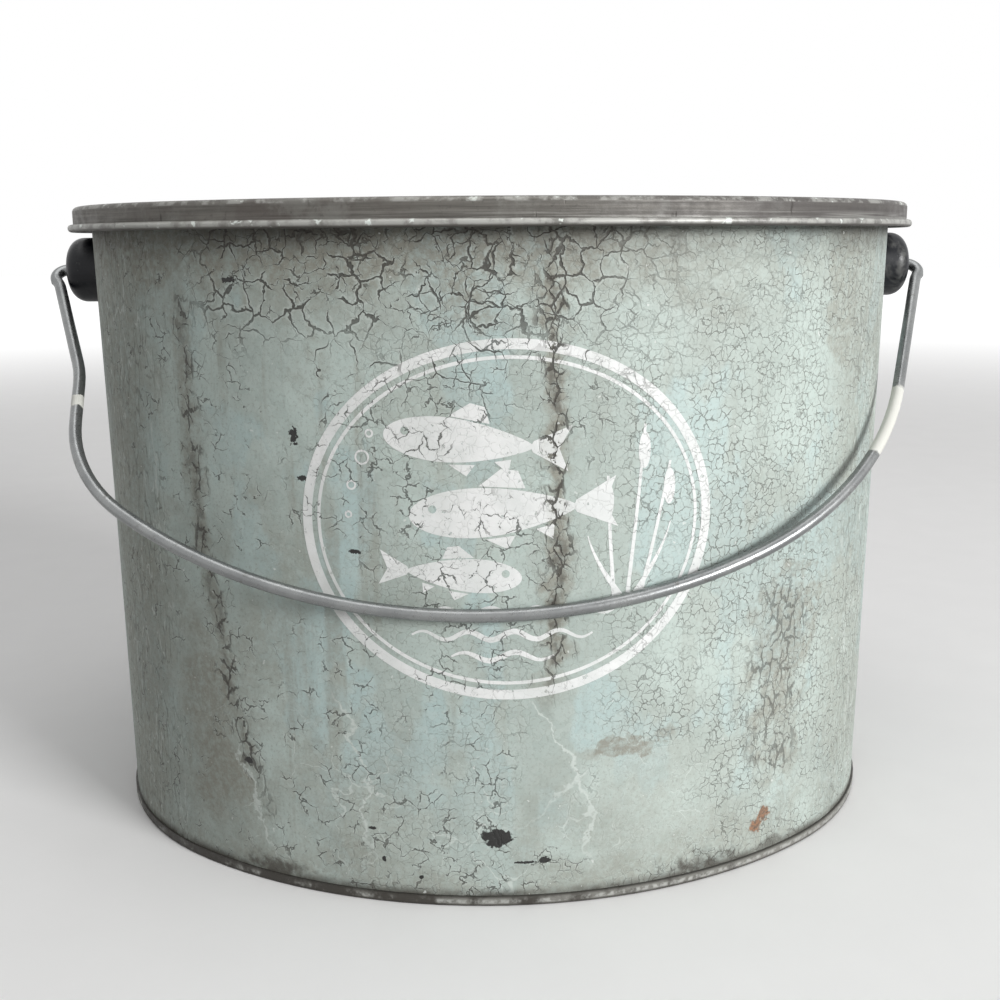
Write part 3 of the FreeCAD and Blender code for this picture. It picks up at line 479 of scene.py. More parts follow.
def make_run_group():
    """A stain that runs down the unrolled wall from a place, along a leaning and curving line."""
    tree, given, out = start_group("run_down", ["Vector", *RUN_INPUTS], ["Mask", "Core"])
    place, start, top, low, width, lean, curve, crook = given[:8]
    across, up = axes(place)[:2]
    drop = minus(top, up)
    line = plus(start, times(drop, lean))
    line = plus(line, times(drop, drop, curve))
    wobble = minus(flat_noise(place, 95.0, 5.0, 0.58), 0.5)
    off = plus(minus(across, line), times(wobble, crook))
    width = times(width, ease(flat_noise(place, 130.0, 2.0), 0.3, 0.7, 0.55, 1.4))
    off = calc("DIVIDE", calc("ABSOLUTE", off), width)
    fade = minus(flat_noise(place, 45.0, 3.0), 0.5)
    level = plus(up, times(fade, 0.03))
    ends = times(ease(level, low, plus(low, 0.03)), ease(level, top, plus(top, 0.012), 1.0, 0.0))
    join(times(ease(off, 0.3, 1.6, 1.0, 0.0), ends), out["Mask"])
    join(times(ease(off, 0.1, 0.7, 1.0, 0.0), ends), out["Core"])
    return tree


CRACKLE = make_crackle_group()
PATCHES = make_patch_group("patches", "3D")
SPOT = make_spot_group("spot", "3D")
WALL_PATCHES = make_patch_group("wall_patches", "2D")
WALL_SPOT = make_spot_group("wall_spot", "2D")
RUN_DOWN = make_run_group()

# Runs down the front, in the order of the group's inputs: two old stains, then long pale veins low down.
MIDDLE_RUN = (0.01, 0.176, 0.04, 0.003, 0.08, -0.6, 0.008)
LEFT_RUN = (-0.088, 0.152, 0.01, 0.0036, -0.02, 1.33, 0.008)
VEIN_RUNS = [
    (0.0125, 0.047, 0.0, 0.0012, 0.55, -7.5, 0.014),
    (0.0145, 0.032, 0.008, 0.0016, -1.3, 0.0, 0.018),
    (-0.041, 0.047, 0.0, 0.0013, 0.25, -4.0, 0.014),
    (-0.0745, 0.034, -0.008, 0.0011, 0.15, 8.0, 0.012),
]


def run_down(place, run):
    return use(RUN_DOWN, {"Vector": place, **dict(zip(RUN_INPUTS, run))})


def wall_patches(place, scale, cover, edge, detail=4.0):
    return use(WALL_PATCHES, {"Vector": place, "Scale": scale, "Cover": cover, "Edge": edge,
                              "Detail": detail})["Mask"]


def ragged_spot(place, centre, reach, ragged, grain, edge):
    """One ragged spot, on the unrolled wall if its centre has two measures, in space if it has three."""
    group = SPOT
    if len(centre) == 2:
        group, centre, reach = WALL_SPOT, (*centre, 0.0), (*reach, 1.0)
    return use(group, {"Vector": place, "Place": centre, "Size": reach, "Ragged": ragged, "Grain": grain,
                       "Edge": edge})["Mask"]


def gather_spots(place, spots, edge):
    """One mask of all the ragged spots in a list."""
    mask = ragged_spot(place, *spots[0], edge)
    for spot in spots[1:]:
        mask = most(mask, ragged_spot(place, *spot, edge))
    return mask


def make_wall_cracks_group():
    """The pail's cracks: fine crazing, open cracks under the deck, wrinkled ends, pale veins low down,
    and painted highlights on lifted crack edges and end wrinkles.
    """
    tree, given, out = start_group("wall_cracks", ["Vector"], ["Fine", "Open", "Vein_and_highlight", "Flake"])
    place = given["Vector"]
    across, up = axes(place)[:2]

    def net(scale, width, warp, gaps, stretch=1.0):
        flat = place if stretch == 1.0 else scaled(place, (1.0, stretch, 1.0))
        return use(CRACKLE, {"Vector": flat, "Scale": scale, "Width": width, "Warp": warp, "Break": gaps})

    behind = ease(calc("ABSOLUTE", across), 0.14, 0.18)
    fine = net(440.0, 0.056, 0.8, 0.33)
    dense_right = most(ease(across, -0.06, -0.03, 0.1, 0.43), ease(across, 0.004, 0.042),
                       times(behind, 0.8))
    fine_share = times(dense_right, ease(wall_patches(place, 40.0, 0.64, 0.1), 0.0, 1.0, 0.35, 1.0))
    short = net(250.0, 0.052, 1.0, ease(across, -0.062, -0.03, 0.48, 0.41))
    short_share = times(wall_patches(place, 30.0, 0.64, 0.08), ease(across, 0.01, 0.05, 0.8, 0.35))
    front_left = times(ease(across, -0.09, -0.072), ease(across, 0.015, 0.05, 1.0, 0.2))
    wide = net(109.0, 0.026, 0.7, 0.43)
    wide_share = times(wall_patches(place, 28.0, 0.62, 0.07), ease(up, 0.112, 0.14), front_left)
    dense = net(168.0, 0.048, 0.75, 0.34)
    dense_share = times(wall_patches(place, 34.0, 0.88, 0.07), ease(up, 0.14, 0.156), front_left)
    wrinkle = net(420.0, 0.085, 0.7, 0.4, 0.28)["Line"]
    ends = most(ease(across, -0.092, -0.106), ease(across, 0.102, 0.116))
    ends = times(ends, minus(1.0, behind))
    rough_low = ragged_spot(place, (0.08, 0.056), (0.015, 0.044), ragged=1.5, grain=80.0, edge=0.6)
    runs = most(run_down(place, MIDDLE_RUN)["Mask"], times(run_down(place, LEFT_RUN)["Mask"], 0.95))
    torn = net(310.0, 0.105, 0.9, 0.35, 0.6)["Line"]
    open_lines = most(times(short["Line"], short_share), times(wide["Line"], wide_share),
                      times(dense["Line"], dense_share), times(torn, runs),
                      times(torn, rough_low, 0.68))
    rim_highlights = most(times(short["Rim_highlight"], short_share), times(wide["Rim_highlight"], wide_share),
                times(dense["Rim_highlight"], dense_share))
    vein_zone = times(ease(up, 0.036, 0.062, 1.0, 0.0), ease(across, -0.095, -0.08),
                      ease(across, 0.055, 0.07, 1.0, 0.0))
    veins_and_highlights = net(66.0, 0.017, 0.8, 0.42)["Line"]
    veins_and_highlights = times(veins_and_highlights, wall_patches(place, 26.0, 0.6, 0.08), vein_zone, 0.8)
    for run in VEIN_RUNS:
        veins_and_highlights = most(veins_and_highlights, run_down(place, run)["Core"])
    smooth_low = ragged_spot(place, (0.032, 0.024), (0.034, 0.024), ragged=1.2, grain=60.0, edge=0.5)
    fine_lines = times(fine["Line"], fine_share, ease(smooth_low, 0.0, 1.0, 1.0, 0.15))
    fine_lines = most(fine_lines, times(wrinkle, ends, 0.75))
    join(fine_lines, out["Fine"])
    join(times(open_lines, ease(smooth_low, 0.0, 1.0, 1.0, 0.2)), out["Open"])
    # Painted highlights: pale edges on the end wrinkles and the crack edges, joined to the pale veins.
    wrinkle_highlight = times(net(330.0, 0.07, 0.8, 0.44, 0.22)["Line"], ends, 0.85)
    veins_and_highlights = most(veins_and_highlights, wrinkle_highlight, times(rim_highlights, 0.5), times(fine["Rim_highlight"], fine_share, 0.34))
    join(veins_and_highlights, out["Vein_and_highlight"])
    join(fine["Flake"], out["Flake"])
    return tree


# Brown film on the unrolled wall: place, size, how ragged, coarseness, soft edge, strength.
FILM_SPOTS = [
    ((0.08, 0.054), (0.017, 0.046), 1.8, 120.0, 0.8, 0.84),
    ((0.087, 0.07), (0.013, 0.022), 2.2, 170.0, 0.6, 0.85),
    ((0.084, 0.036), (0.013, 0.016), 2.2, 170.0, 0.7, 0.6),
    ((0.0318, 0.0424), (0.0108, 0.0038), 1.5, 240.0, 0.3, 1.0),
    ((0.0225, 0.0412), (0.005, 0.0024), 1.7, 420.0, 0.6, 0.6),
    ((0.0428, 0.045), (0.005, 0.0024), 1.7, 420.0, 0.6, 0.9),
    ((0.034, 0.024), (0.034, 0.022), 1.3, 60.0, 0.6, 0.4),
    ((-0.036, 0.022), (0.038, 0.024), 1.3, 60.0, 0.7, 0.48),
    ((-0.085, 0.04), (0.022, 0.05), 1.2, 60.0, 0.8, 0.9),
    ((0.101, 0.158), (0.011, 0.024), 0.9, 110.0, 0.25, 0.75),
]

# Near-black dirt along the foot: place, size, strength.
FOOT_DIRT = [
    ((-0.066, 0.003), (0.016, 0.0066), 1.0),
    ((-0.034, 0.0025), (0.024, 0.0032), 0.8),
    ((0.056, 0.0025), (0.02, 0.0072), 1.0),
    ((0.08, 0.003), (0.014, 0.004), 0.8),
]


def make_wall_grime_and_shade_group():
    """Where dirt lies on the pail: a brown film, near-black runs and dirt along the foot, and painted
    shade just under the deck's bead.
    """
    tree, given, out = start_group("wall_grime_and_shade", ["Vector"], ["Film", "Dark"])
    place = given["Vector"]
    across, up = axes(place)[:2]
    ragged = flat_noise(place, 55.0, 6.0, 0.64)
    height = plus(up, times(minus(ragged, 0.5), 0.06))
    under_deck = times(ease(height, 0.144, 0.168), ease(across, 0.01, 0.07, 0.95, 0.45))
    left_end = plus(across, times(ragged, 0.03))
    left_end = times(ease(left_end, -0.078, -0.1), ease(left_end, -0.14, -0.115), 0.76)
    streaks = flat_noise(scaled(place, (1.0, 0.08, 1.0)), 105.0, 4.0, 0.6)
    streaks = times(ease(streaks, 0.52, 0.68), ease(across, -0.04, 0.02, 0.6, 0.24))
    blotches = wall_patches(place, 21.0, 0.42, 0.07, detail=6.0)
    right_end = times(ease(across, 0.086, 0.11), ease(across, 0.15, 0.128), 0.56)
    low_band = ease(height, 0.032, 0.002, 0.0, 0.62)
    blotches = times(blotches, ease(across, -0.06, 0.0, 0.5, 0.28))
    film = most(under_deck, left_end, right_end, low_band, streaks, blotches)
    for *spot, strength in FILM_SPOTS:
        film = most(film, times(ragged_spot(place, *spot), strength))
    middle_run = run_down(place, MIDDLE_RUN)
    left_run = run_down(place, LEFT_RUN)
    film = most(film, times(middle_run["Mask"], 0.95), times(left_run["Mask"], 0.75))
    mottle = flat_noise(place, 420.0, 6.0, 0.72)
    film = times(film, ease(mottle, 0.34, 0.6, 0.5, 1.0))
    patchy = wall_patches(place, 230.0, 0.5, 0.12)
    foot = times(ease(up, 0.0028, 0.0056, 0.95, 0.0), ease(ragged, 0.36, 0.6, 0.45, 1.0))
    speckle = plus(mottle, ease(up, 0.003, 0.008, 0.2, 0.0))
    speckle = ease(speckle, 0.4, 0.58, 0.5, 1.0)
    for centre, reach, strength in FOOT_DIRT:
        spot = ragged_spot(place, centre, reach, ragged=1.5, grain=280.0, edge=0.9)
        foot = most(foot, times(spot, speckle, strength))
    # Painted shade: darker in a band just under the deck's bead, where the lid shades the wall.
    under_bead_shade = times(ease(up, 0.163, 0.1755), ease(ragged, 0.35, 0.65, 0.4, 0.88))
    dark = most(times(middle_run["Core"], ease(patchy, 0.0, 1.0, 0.06, 0.66)),
                times(left_run["Core"], ease(patchy, 0.0, 1.0, 0.04, 0.5)), foot, under_bead_shade)
    join(film, out["Film"])
    join(dark, out["Dark"])
    return tree


WALL_CRACKS = make_wall_cracks_group()
WALL_GRIME_AND_SHADE = make_wall_grime_and_shade_group()

# Bare chips of the front, on the unrolled wall: place, size, how ragged, coarseness.
BARE_CHIPS = [
    ((-0.0028, 0.0193), (0.0042, 0.0028), 1.1, 520.0),
    ((0.0099, 0.0125), (0.0016, 0.0011), 1.7, 900.0),
    ((0.0045, 0.0121), (0.0034, 0.0004), 1.9, 1300.0),
    ((-0.0537, 0.124), (0.0011, 0.0024), 2.0, 900.0),
    ((-0.0515, 0.1135), (0.0018, 0.0008), 2.0, 1300.0),
    ((-0.0381, 0.0954), (0.0018, 0.0006), 1.9, 1300.0),
    ((-0.0727, 0.0342), (0.0013, 0.001), 1.6, 1100.0),
    ((-0.0706, 0.1621), (0.0024, 0.0007), 2.0, 1200.0),
    ((-0.023, 0.0075), (0.0007, 0.0006), 1.2, 1300.0),
    ((-0.033, 0.012), (0.0006, 0.0008), 1.2, 1300.0),
    ((-0.036, 0.0205), (0.0012, 0.0005), 1.8, 1300.0),
]
RUST_SPOTS = [
    ((0.0768, 0.0138), (0.003, 0.0026), 1.5, 620.0),
    ((0.0742, 0.011), (0.003, 0.0024), 1.5, 620.0),
]


# Paint of the pail.
DEEP_MINT = (0.42, 0.488, 0.452)
LIGHT_MINT = (0.514, 0.602, 0.562)
BLUE_MINT = (0.466, 0.602, 0.596)
PALE_MINT = (0.68, 0.735, 0.66)
FLAKE_MINT = (0.59, 0.655, 0.61)
# Pale veins, and the painted highlights on lifted crack edges and wrinkles.
VEIN_AND_HIGHLIGHT_MINT = (0.64, 0.695, 0.655)
BROWN_FILM = (0.268, 0.248, 0.2)
DIRT_GRAIN = (0.22, 0.22, 0.19)
FINE_CRACK = (0.11, 0.115, 0.098)
OPEN_CRACK = (0.045, 0.042, 0.036)
# Near-black of the dirty runs and the foot, also painted shade under the deck's bead.
BLACK_DIRT_AND_SHADE = (0.058, 0.05, 0.04)
PAINT_FLECK = (0.72, 0.75, 0.72)
BARE_CHIP = (0.018, 0.018, 0.017)
DARK_RUST = (0.125, 0.072, 0.042)
LIGHT_RUST = (0.32, 0.15, 0.072)
DARK_ZINC = (0.33, 0.335, 0.325)
LIGHT_ZINC = (0.46, 0.465, 0.455)
STAINED_ZINC = (0.22, 0.19, 0.15)

# White of the print.
DULL_WHITE = (0.78, 0.8, 0.785)
CLEAN_WHITE = (0.88, 0.89, 0.88)
FILMED_WHITE = (0.46, 0.45, 0.4)
WHITE_FINE_CRACK = (0.3, 0.31, 0.29)
WHITE_OPEN_CRACK = (0.14, 0.14, 0.13)

# Metal of the deck.
DECK_DARK = (0.096, 0.09, 0.08)
DECK_LIGHT = (0.168, 0.159, 0.142)
DECK_BROWN = (0.08, 0.066, 0.058)
DECK_PALE = (0.25, 0.25, 0.23)
DECK_PITS = (0.05, 0.046, 0.04)
DECK_DUSK = (0.066, 0.059, 0.057)
# Rubbed metal of the edges, also the painted highlight along the bead's top.
DECK_RUBBED_AND_HIGHLIGHT = (0.42, 0.42, 0.395)
# Painted shade on the underside of the bead.
BEAD_UNDERSIDE_SHADE = (0.06, 0.056, 0.05)
MINT_SPOT = (0.66, 0.7, 0.66)
DECK_SCRATCH = (0.035, 0.03, 0.026)

# Seam round the foot.
SEAM_DIRT = (0.05, 0.045, 0.038)
SEAM_GREY = (0.215, 0.212, 0.192)
SEAM_RUBBED = (0.54, 0.545, 0.52)
# Dark line at the seam's top, also the painted shade along its underside.
SEAM_LINE_AND_SHADE = (0.03, 0.027, 0.022)

# Ears, wires, liner and hinge.
ENAMEL_BLACK = (0.006, 0.007, 0.01)
ENAMEL_DUST = (0.024, 0.025, 0.028)
ENAMEL_WORN = (0.19, 0.19, 0.18)
WIRE_DARK = (0.215, 0.222, 0.224)
WIRE_LIGHT = (0.285, 0.293, 0.292)
WIRE_TARNISH = (0.11, 0.104, 0.094)
OLD_DAUB = (0.69, 0.69, 0.64)
SPANGLE_DARK = (0.4, 0.41, 0.41)
SPANGLE_LIGHT = (0.56, 0.57, 0.57)
WHITE_BLOOM = (0.6, 0.6, 0.58)
WATER_MARK = (0.24, 0.215, 0.18)
RUSTY_MARK = (0.28, 0.2, 0.13)
HINGE_DARK = (0.3, 0.29, 0.27)
HINGE_LIGHT = (0.44, 0.43, 0.41)
HINGE_RUST = (0.19, 0.11, 0.06)

# Floor and world: colours, the floor's reach and where it turns white (metres), level of fill light.
FLOOR_LOW = (0.86, 0.855, 0.85)
FLOOR_HIGH = (0.9, 0.895, 0.89)
FLOOR_FILL = (0.25, 0.245, 0.24)
BLACK = (0.0, 0.0, 0.0)
WHITE = (1.0, 1.0, 1.0)
FLOOR_REACH = 6.0
FLOOR_FADE = (0.6, 2.2)
FILL_LEVEL = 0.26

# Full height of the relief in the paint, in metres.
PAINT_RELIEF = 0.0002


def make_pail_paint():
    """Old mint paint with brown film, dark runs, crazing, veins, chips and flecks, painted shade under
    the deck's bead and painted highlights on lifted crack edges and wrinkles; bare zinc inside.
    """
    material, shader, place = start_material("crazed_mint_paint", unrolled=True)
    across, up, inside = axes(place)[:3]
    cracks = use(WALL_CRACKS, {"Vector": place})
    grime_and_shade = use(WALL_GRIME_AND_SHADE, {"Vector": place})
    soft = flat_noise(place, 26.0, 4.0, 0.55)
    colour = tint(ease(soft, 0.38, 0.62), DEEP_MINT, LIGHT_MINT)
    blue = wall_patches(scaled(place, (1.0, 0.55, 1.0)), 31.0, 0.4, 0.035)
    blue = times(blue, ease(across, -0.09, -0.045, 0.3, 0.7), ease(up, 0.012, 0.05, 0.4, 1.0))
    colour = tint(blue, colour, BLUE_MINT)
    pale_right = times(ease(across, 0.0, 0.05, 0.0, 0.13), ease(across, 0.078, 0.105, 1.0, 0.2))
    colour = tint(pale_right, colour, PALE_MINT)
    flake = ease(cracks["Flake"], 0.0, 1.0, 0.0, 0.22)
    colour = tint(flake, colour, FLAKE_MINT)
    colour = tint(times(grime_and_shade["Film"], 0.82), colour, BROWN_FILM)
    grain = flat_noise(place, 1100.0, 3.0, 0.7)
    colour = tint(ease(grain, 0.52, 0.74, 0.0, 0.34), colour, DIRT_GRAIN)
    # Pale veins and painted highlights, weaker where the film is thick.
    veins_and_highlights = times(cracks["Vein_and_highlight"], ease(grime_and_shade["Film"], 0.66, 0.92, 0.8, 0.15))
    colour = tint(veins_and_highlights, colour, VEIN_AND_HIGHLIGHT_MINT)
    colour = tint(times(cracks["Fine"], 0.66), colour, FINE_CRACK)
    colour = tint(times(cracks["Open"], 0.88), colour, OPEN_CRACK)
    # Near-black dirt of the runs and the foot, with painted shade under the deck's bead.
    colour = tint(times(grime_and_shade["Dark"], 0.88), colour, BLACK_DIRT_AND_SHADE)
    fleck = times(ease(flat_noise(place, 420.0, 2.0, 0.5), 0.785, 0.81), 0.7)
    colour = tint(fleck, colour, PAINT_FLECK)
    chips = gather_spots(place, BARE_CHIPS, 0.15)
    colour = tint(chips, colour, BARE_CHIP)
    rust = gather_spots(place, RUST_SPOTS, 0.5)
    rust_tone = tint(ease(grain, 0.4, 0.6), DARK_RUST, LIGHT_RUST)
    colour = tint(times(rust, 0.9), colour, rust_tone)
    zinc = tint(ease(grain, 0.3, 0.7), DARK_ZINC, LIGHT_ZINC)
    zinc = tint(ease(soft, 0.48, 0.66, 0.0, 0.6), zinc, STAINED_ZINC)
    colour = tint(inside, colour, zinc)
    rough = ease(grain, 0.3, 0.7, 0.46, 0.64)
    rough = plus(rough, times(grime_and_shade["Film"], 0.12))
    sunk = most(times(cracks["Fine"], 0.45), cracks["Open"])
    sunk = times(sunk, minus(1.0, inside))
    height = minus(times(flat_noise(place, 260.0, 4.0), 0.7), sunk)
    finish_material(shader, colour, rough, height, PAINT_RELIEF)
    return material


def make_print_paint():
    """White print over the mint paint, cracked with it and rubbed through in places."""
    material, shader, place = start_material("worn_white_print", unrolled=True)
    cracks = use(WALL_CRACKS, {"Vector": place})
    grime_and_shade = use(WALL_GRIME_AND_SHADE, {"Vector": place})
    soft = flat_noise(place, 80.0, 4.0)
    colour = tint(ease(soft, 0.35, 0.65), DULL_WHITE, CLEAN_WHITE)
    colour = tint(times(grime_and_shade["Film"], 0.25), colour, FILMED_WHITE)
    colour = tint(times(cracks["Fine"], 0.4), colour, WHITE_FINE_CRACK)
    colour = tint(times(cracks["Open"], 0.8), colour, WHITE_OPEN_CRACK)
    rubbed = flat_noise(place, 420.0, 5.0, 0.7)
    rubbed = ease(plus(rubbed, times(grime_and_shade["Dark"], 0.3)), 0.655, 0.715, 1.0, 0.0)
    shown = times(rubbed, ease(cracks["Open"], 0.5, 0.9, 1.0, 0.15))
    join(shown, shader.inputs["Alpha"])
    rough = ease(soft, 0.3, 0.7, 0.45, 0.6)
    sunk = most(times(cracks["Fine"], 0.45), cracks["Open"])
    height = minus(times(soft, 0.6), sunk)
    finish_material(shader, colour, rough, height, PAINT_RELIEF)
    return material


def make_deck_metal():
    """Tarnished deck: dark warm grey streaked round the skirt, its edges rubbed bright, a painted
    highlight along the bead's top and painted shade on its underside.
    """
    material, shader, place = start_material("tarnished_deck_metal")
    across, _, up = axes(place)[:3]
    facing = axes(put(shader.id_data, "ShaderNodeNewGeometry").outputs["Normal"])[2]
    streak = noise(scaled(place, (0.1, 0.1, 5.0)), 240.0, 5.0, 0.6)
    cloud = noise(place, 42.0, 5.0, 0.6)
    fine = noise(place, 700.0, 5.0, 0.7)
    colour = tint(ease(streak, 0.35, 0.65), DECK_DARK, DECK_LIGHT)
    colour = tint(ease(cloud, 0.46, 0.64, 0.0, 0.6), colour, DECK_BROWN)
    pale = use(PATCHES, {"Vector": place, "Scale": 75.0, "Cover": 0.3, "Edge": 0.06, "Detail": 6.0})
    colour = tint(times(pale["Mask"], 0.4), colour, DECK_PALE)
    colour = tint(ease(fine, 0.54, 0.72, 0.0, 0.5), colour, DECK_PITS)
    colour = tint(ease(across, -0.01, 0.09, 0.0, 0.74), colour, DECK_DUSK)
    worn_field = noise(place, 210.0, 5.0, 0.65)
    bead = times(ease(up, 0.1764, 0.1758), ease(up, 0.1732, 0.1738))
    to_right = ease(across, -0.1, 0.08)
    # Painted highlight along the upper half of the bead and painted shade on its lower half.
    bead_lit_top = times(bead, ease(up, 0.1744, 0.1751))
    bead_shaded_underside = times(bead, ease(up, 0.175, 0.1743))
    bead_highlight_and_rub = times(bead_lit_top, ease(worn_field, 0.36, 0.58, 0.3, 0.95))
    top_edge = times(ease(facing, 0.1, 0.35), ease(facing, 0.85, 0.97, 1.0, 0.0),
                     ease(worn_field, 0.44, 0.6))
    low_strip = times(ease(up, 0.1783, 0.1768), ease(up, 0.1757, 0.1764), to_right,
                      ease(streak, 0.4, 0.6))
    # Rubbed edges and strip, with the painted highlight on the bead.
    bright = most(bead_highlight_and_rub, times(top_edge, 0.6), times(low_strip, 0.45))
    colour = tint(bright, colour, DECK_RUBBED_AND_HIGHLIGHT)
    colour = tint(times(bead_shaded_underside, 0.7), colour, BEAD_UNDERSIDE_SHADE)
    flecks = ease(noise(place, 300.0, 3.0, 0.6), 0.6, 0.65)
    paint_spots = times(most(bead_lit_top, times(top_edge, 0.7)), flecks)
    colour = tint(paint_spots, colour, MINT_SPOT)
    scratch_field = noise(scaled(place, (1.0, 1.0, 0.22)), 330.0, 3.0, 0.6)
    scratches = times(ease(scratch_field, 0.67, 0.73), 0.7)
    colour = tint(scratches, colour, DECK_SCRATCH)
    rough = minus(ease(worn_field, 0.3, 0.7, 0.42, 0.62), times(bright, 0.1))
    height = minus(plus(times(streak, 0.6), times(fine, 0.4)), scratches)
    metal = ease(cloud, 0.4, 0.6, 0.35, 0.15)
    finish_material(shader, colour, rough, height, depth=0.00014, metallic=metal)
    return material


def make_seam_metal():
    """Seam round the foot: black grime, rubbed to pale metal along its edge, most of all on the right."""
    material, shader, place = start_material("rubbed_foot_seam")
    across, _, up = axes(place)[:3]
    along_edge = noise(place, 120.0, 5.0, 0.62)
    fine = noise(place, 600.0, 4.0, 0.6)
    wear = plus(along_edge, ease(across, -0.07, 0.03, -0.06, 0.1))
    colour = tint(ease(wear, 0.42, 0.62), SEAM_DIRT, SEAM_GREY)
    ridge = times(ease(up, 0.0006, 0.0011), ease(up, 0.0022, 0.0016))
    rubbed = times(ease(fine, 0.4, 0.58), ease(wear, 0.44, 0.58), ridge)
    colour = tint(times(rubbed, 0.7), colour, SEAM_RUBBED)
    top_line = ease(plus(up, times(along_edge, 0.0006)), 0.0024, 0.0031)
    # Painted shade: darker along the seam's bottom edge, where it turns under towards the floor.
    under = ease(up, 0.001, 0.0003)
    colour = tint(times(most(top_line, under), 0.8), colour, SEAM_LINE_AND_SHADE)
    rough = ease(fine, 0.3, 0.7, 0.36, 0.6)
    metal = ease(rubbed, 0.0, 1.0, 0.1, 0.6)
    finish_material(shader, colour, rough, fine, depth=0.00015, metallic=metal)
    return material


def make_enamel():
    """Black enamel, dusty, rubbed to grey metal where the bail knocks it."""
    material, shader, place = start_material("rubbed_black_enamel")
    across = axes(place)[0]
    dust = noise(place, 160.0, 5.0, 0.62)
    colour = tint(ease(dust, 0.44, 0.7), ENAMEL_BLACK, ENAMEL_DUST)
    smear = noise(scaled(place, (1.0, 1.0, 0.55)), 120.0, 4.0, 0.6, 0.6)
    worn = ease(plus(smear, ease(across, -0.1, 0.12, -0.16, 0.0)), 0.53, 0.69)
    scuffs = times(ease(noise(place, 700.0, 4.0, 0.7), 0.6, 0.7), 0.35)
    worn = most(worn, scuffs)
    colour = tint(times(worn, 0.58), colour, ENAMEL_WORN)
    rough = ease(dust, 0.3, 0.7, 0.26, 0.48)
    height = minus(times(dust, 0.5), times(worn, 0.5))
    join(0.3, shader.inputs["Specular IOR Level"])
    finish_material(shader, colour, rough, height, depth=0.0001, metallic=times(worn, 0.3))
    return material


# Old paint left on the bail's legs: place, size, how ragged, coarseness.
BAIL_DAUBS = [
    ((0.113, -0.0525, 0.12), (0.02, 0.015, 0.0135), 0.5, 300.0),
    ((-0.1185, -0.044, 0.127), (0.006, 0.0026, 0.0026), 0.9, 300.0),
]


def make_bail_steel():
    """Dull zinc on the bail's wire, with tarnish and old paint left on the legs."""
    material, shader, place = start_material("dull_zinc_wire")
    cloud = noise(place, 60.0, 5.0, 0.6)
    fine = noise(place, 900.0, 3.0, 0.6)
    colour = tint(ease(cloud, 0.34, 0.66), WIRE_DARK, WIRE_LIGHT)
    spots = ease(noise(place, 420.0, 4.0, 0.65), 0.58, 0.72)
    colour = tint(times(spots, 0.5), colour, WIRE_TARNISH)
    painted = gather_spots(place, BAIL_DAUBS, 0.1)
    colour = tint(painted, colour, OLD_DAUB)
    rough = plus(ease(fine, 0.3, 0.7, 0.26, 0.36), times(painted, 0.25))
    metal = minus(0.8, times(painted, 0.8))
    finish_material(shader, colour, rough, fine, depth=0.00002, metallic=metal)
    return material


def make_galvanised():
    """Galvanised sheet: grey spangles, white bloom and water marks."""
    material, shader, place = start_material("galvanised_sheet")
    up = axes(place)[2]
    cells = feed("ShaderNodeTexVoronoi", {"Vector": place, "Scale": 170.0}).outputs["Color"]
    spangle = feed("ShaderNodeSeparateColor", {0: cells}).outputs[0]
    colour = tint(spangle, SPANGLE_DARK, SPANGLE_LIGHT)
    bloom = ease(noise(place, 55.0, 6.0, 0.65), 0.5, 0.68)
    colour = tint(times(bloom, 0.6), colour, WHITE_BLOOM)
    marks = noise(scaled(place, (1.0, 1.0, 0.2)), 80.0, 5.0, 0.6)
    colour = tint(ease(marks, 0.56, 0.72, 0.0, 0.55), colour, WATER_MARK)
    low_marks = times(ease(up, 0.02, 0.05, 1.0, 0.0), ease(marks, 0.42, 0.6))
    colour = tint(times(low_marks, 0.5), colour, RUSTY_MARK)
    rough = plus(ease(spangle, 0.0, 1.0, 0.36, 0.46), times(bloom, 0.18))
    finish_material(shader, colour, rough, noise(place, 300.0, 4.0), depth=0.0001,
                    metallic=ease(bloom, 0.0, 1.0, 0.75, 0.35))
    return material


def make_hinge_steel():
    """Tarnished tinned steel of the hinge and saddles, with brown rust spots."""
    material, shader, place = start_material("tarnished_hinge_steel")
    cloud = noise(place, 180.0, 5.0, 0.62)
    fine = noise(scaled(place, (0.3, 1.0, 1.0)), 900.0, 3.0, 0.6)
    colour = tint(ease(cloud, 0.38, 0.62), HINGE_DARK, HINGE_LIGHT)
    rust = ease(noise(place, 320.0, 5.0, 0.7), 0.56, 0.68)
    colour = tint(times(rust, 0.6), colour, HINGE_RUST)
    rough = plus(ease(fine, 0.3, 0.7, 0.34, 0.48), times(rust, 0.2))
    finish_material(shader, colour, rough, fine, depth=0.00006, metallic=ease(rust, 0.0, 1.0, 0.85, 0.3))
    return material


PAIL_PAINT = make_pail_paint()
PRINT_PAINT = make_print_paint()
FINISHES = {
    "pail_paint": PAIL_PAINT,
    "deck_paint": make_deck_metal(),
    "seam_metal": make_seam_metal(),
    "ear_enamel": make_enamel(),
    "bail_steel": make_bail_steel(),
    "galvanised": make_galvanised(),
    "hinge_steel": make_hinge_steel(),
}


def dress_cad_nodes():
    """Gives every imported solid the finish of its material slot."""
    for part in frame["record"]["subparts"]:
        node = frame["nodes"][part["node"]]
        node.data.materials.clear()
        node.data.materials.append(FINISHES[part["material_slot"]])


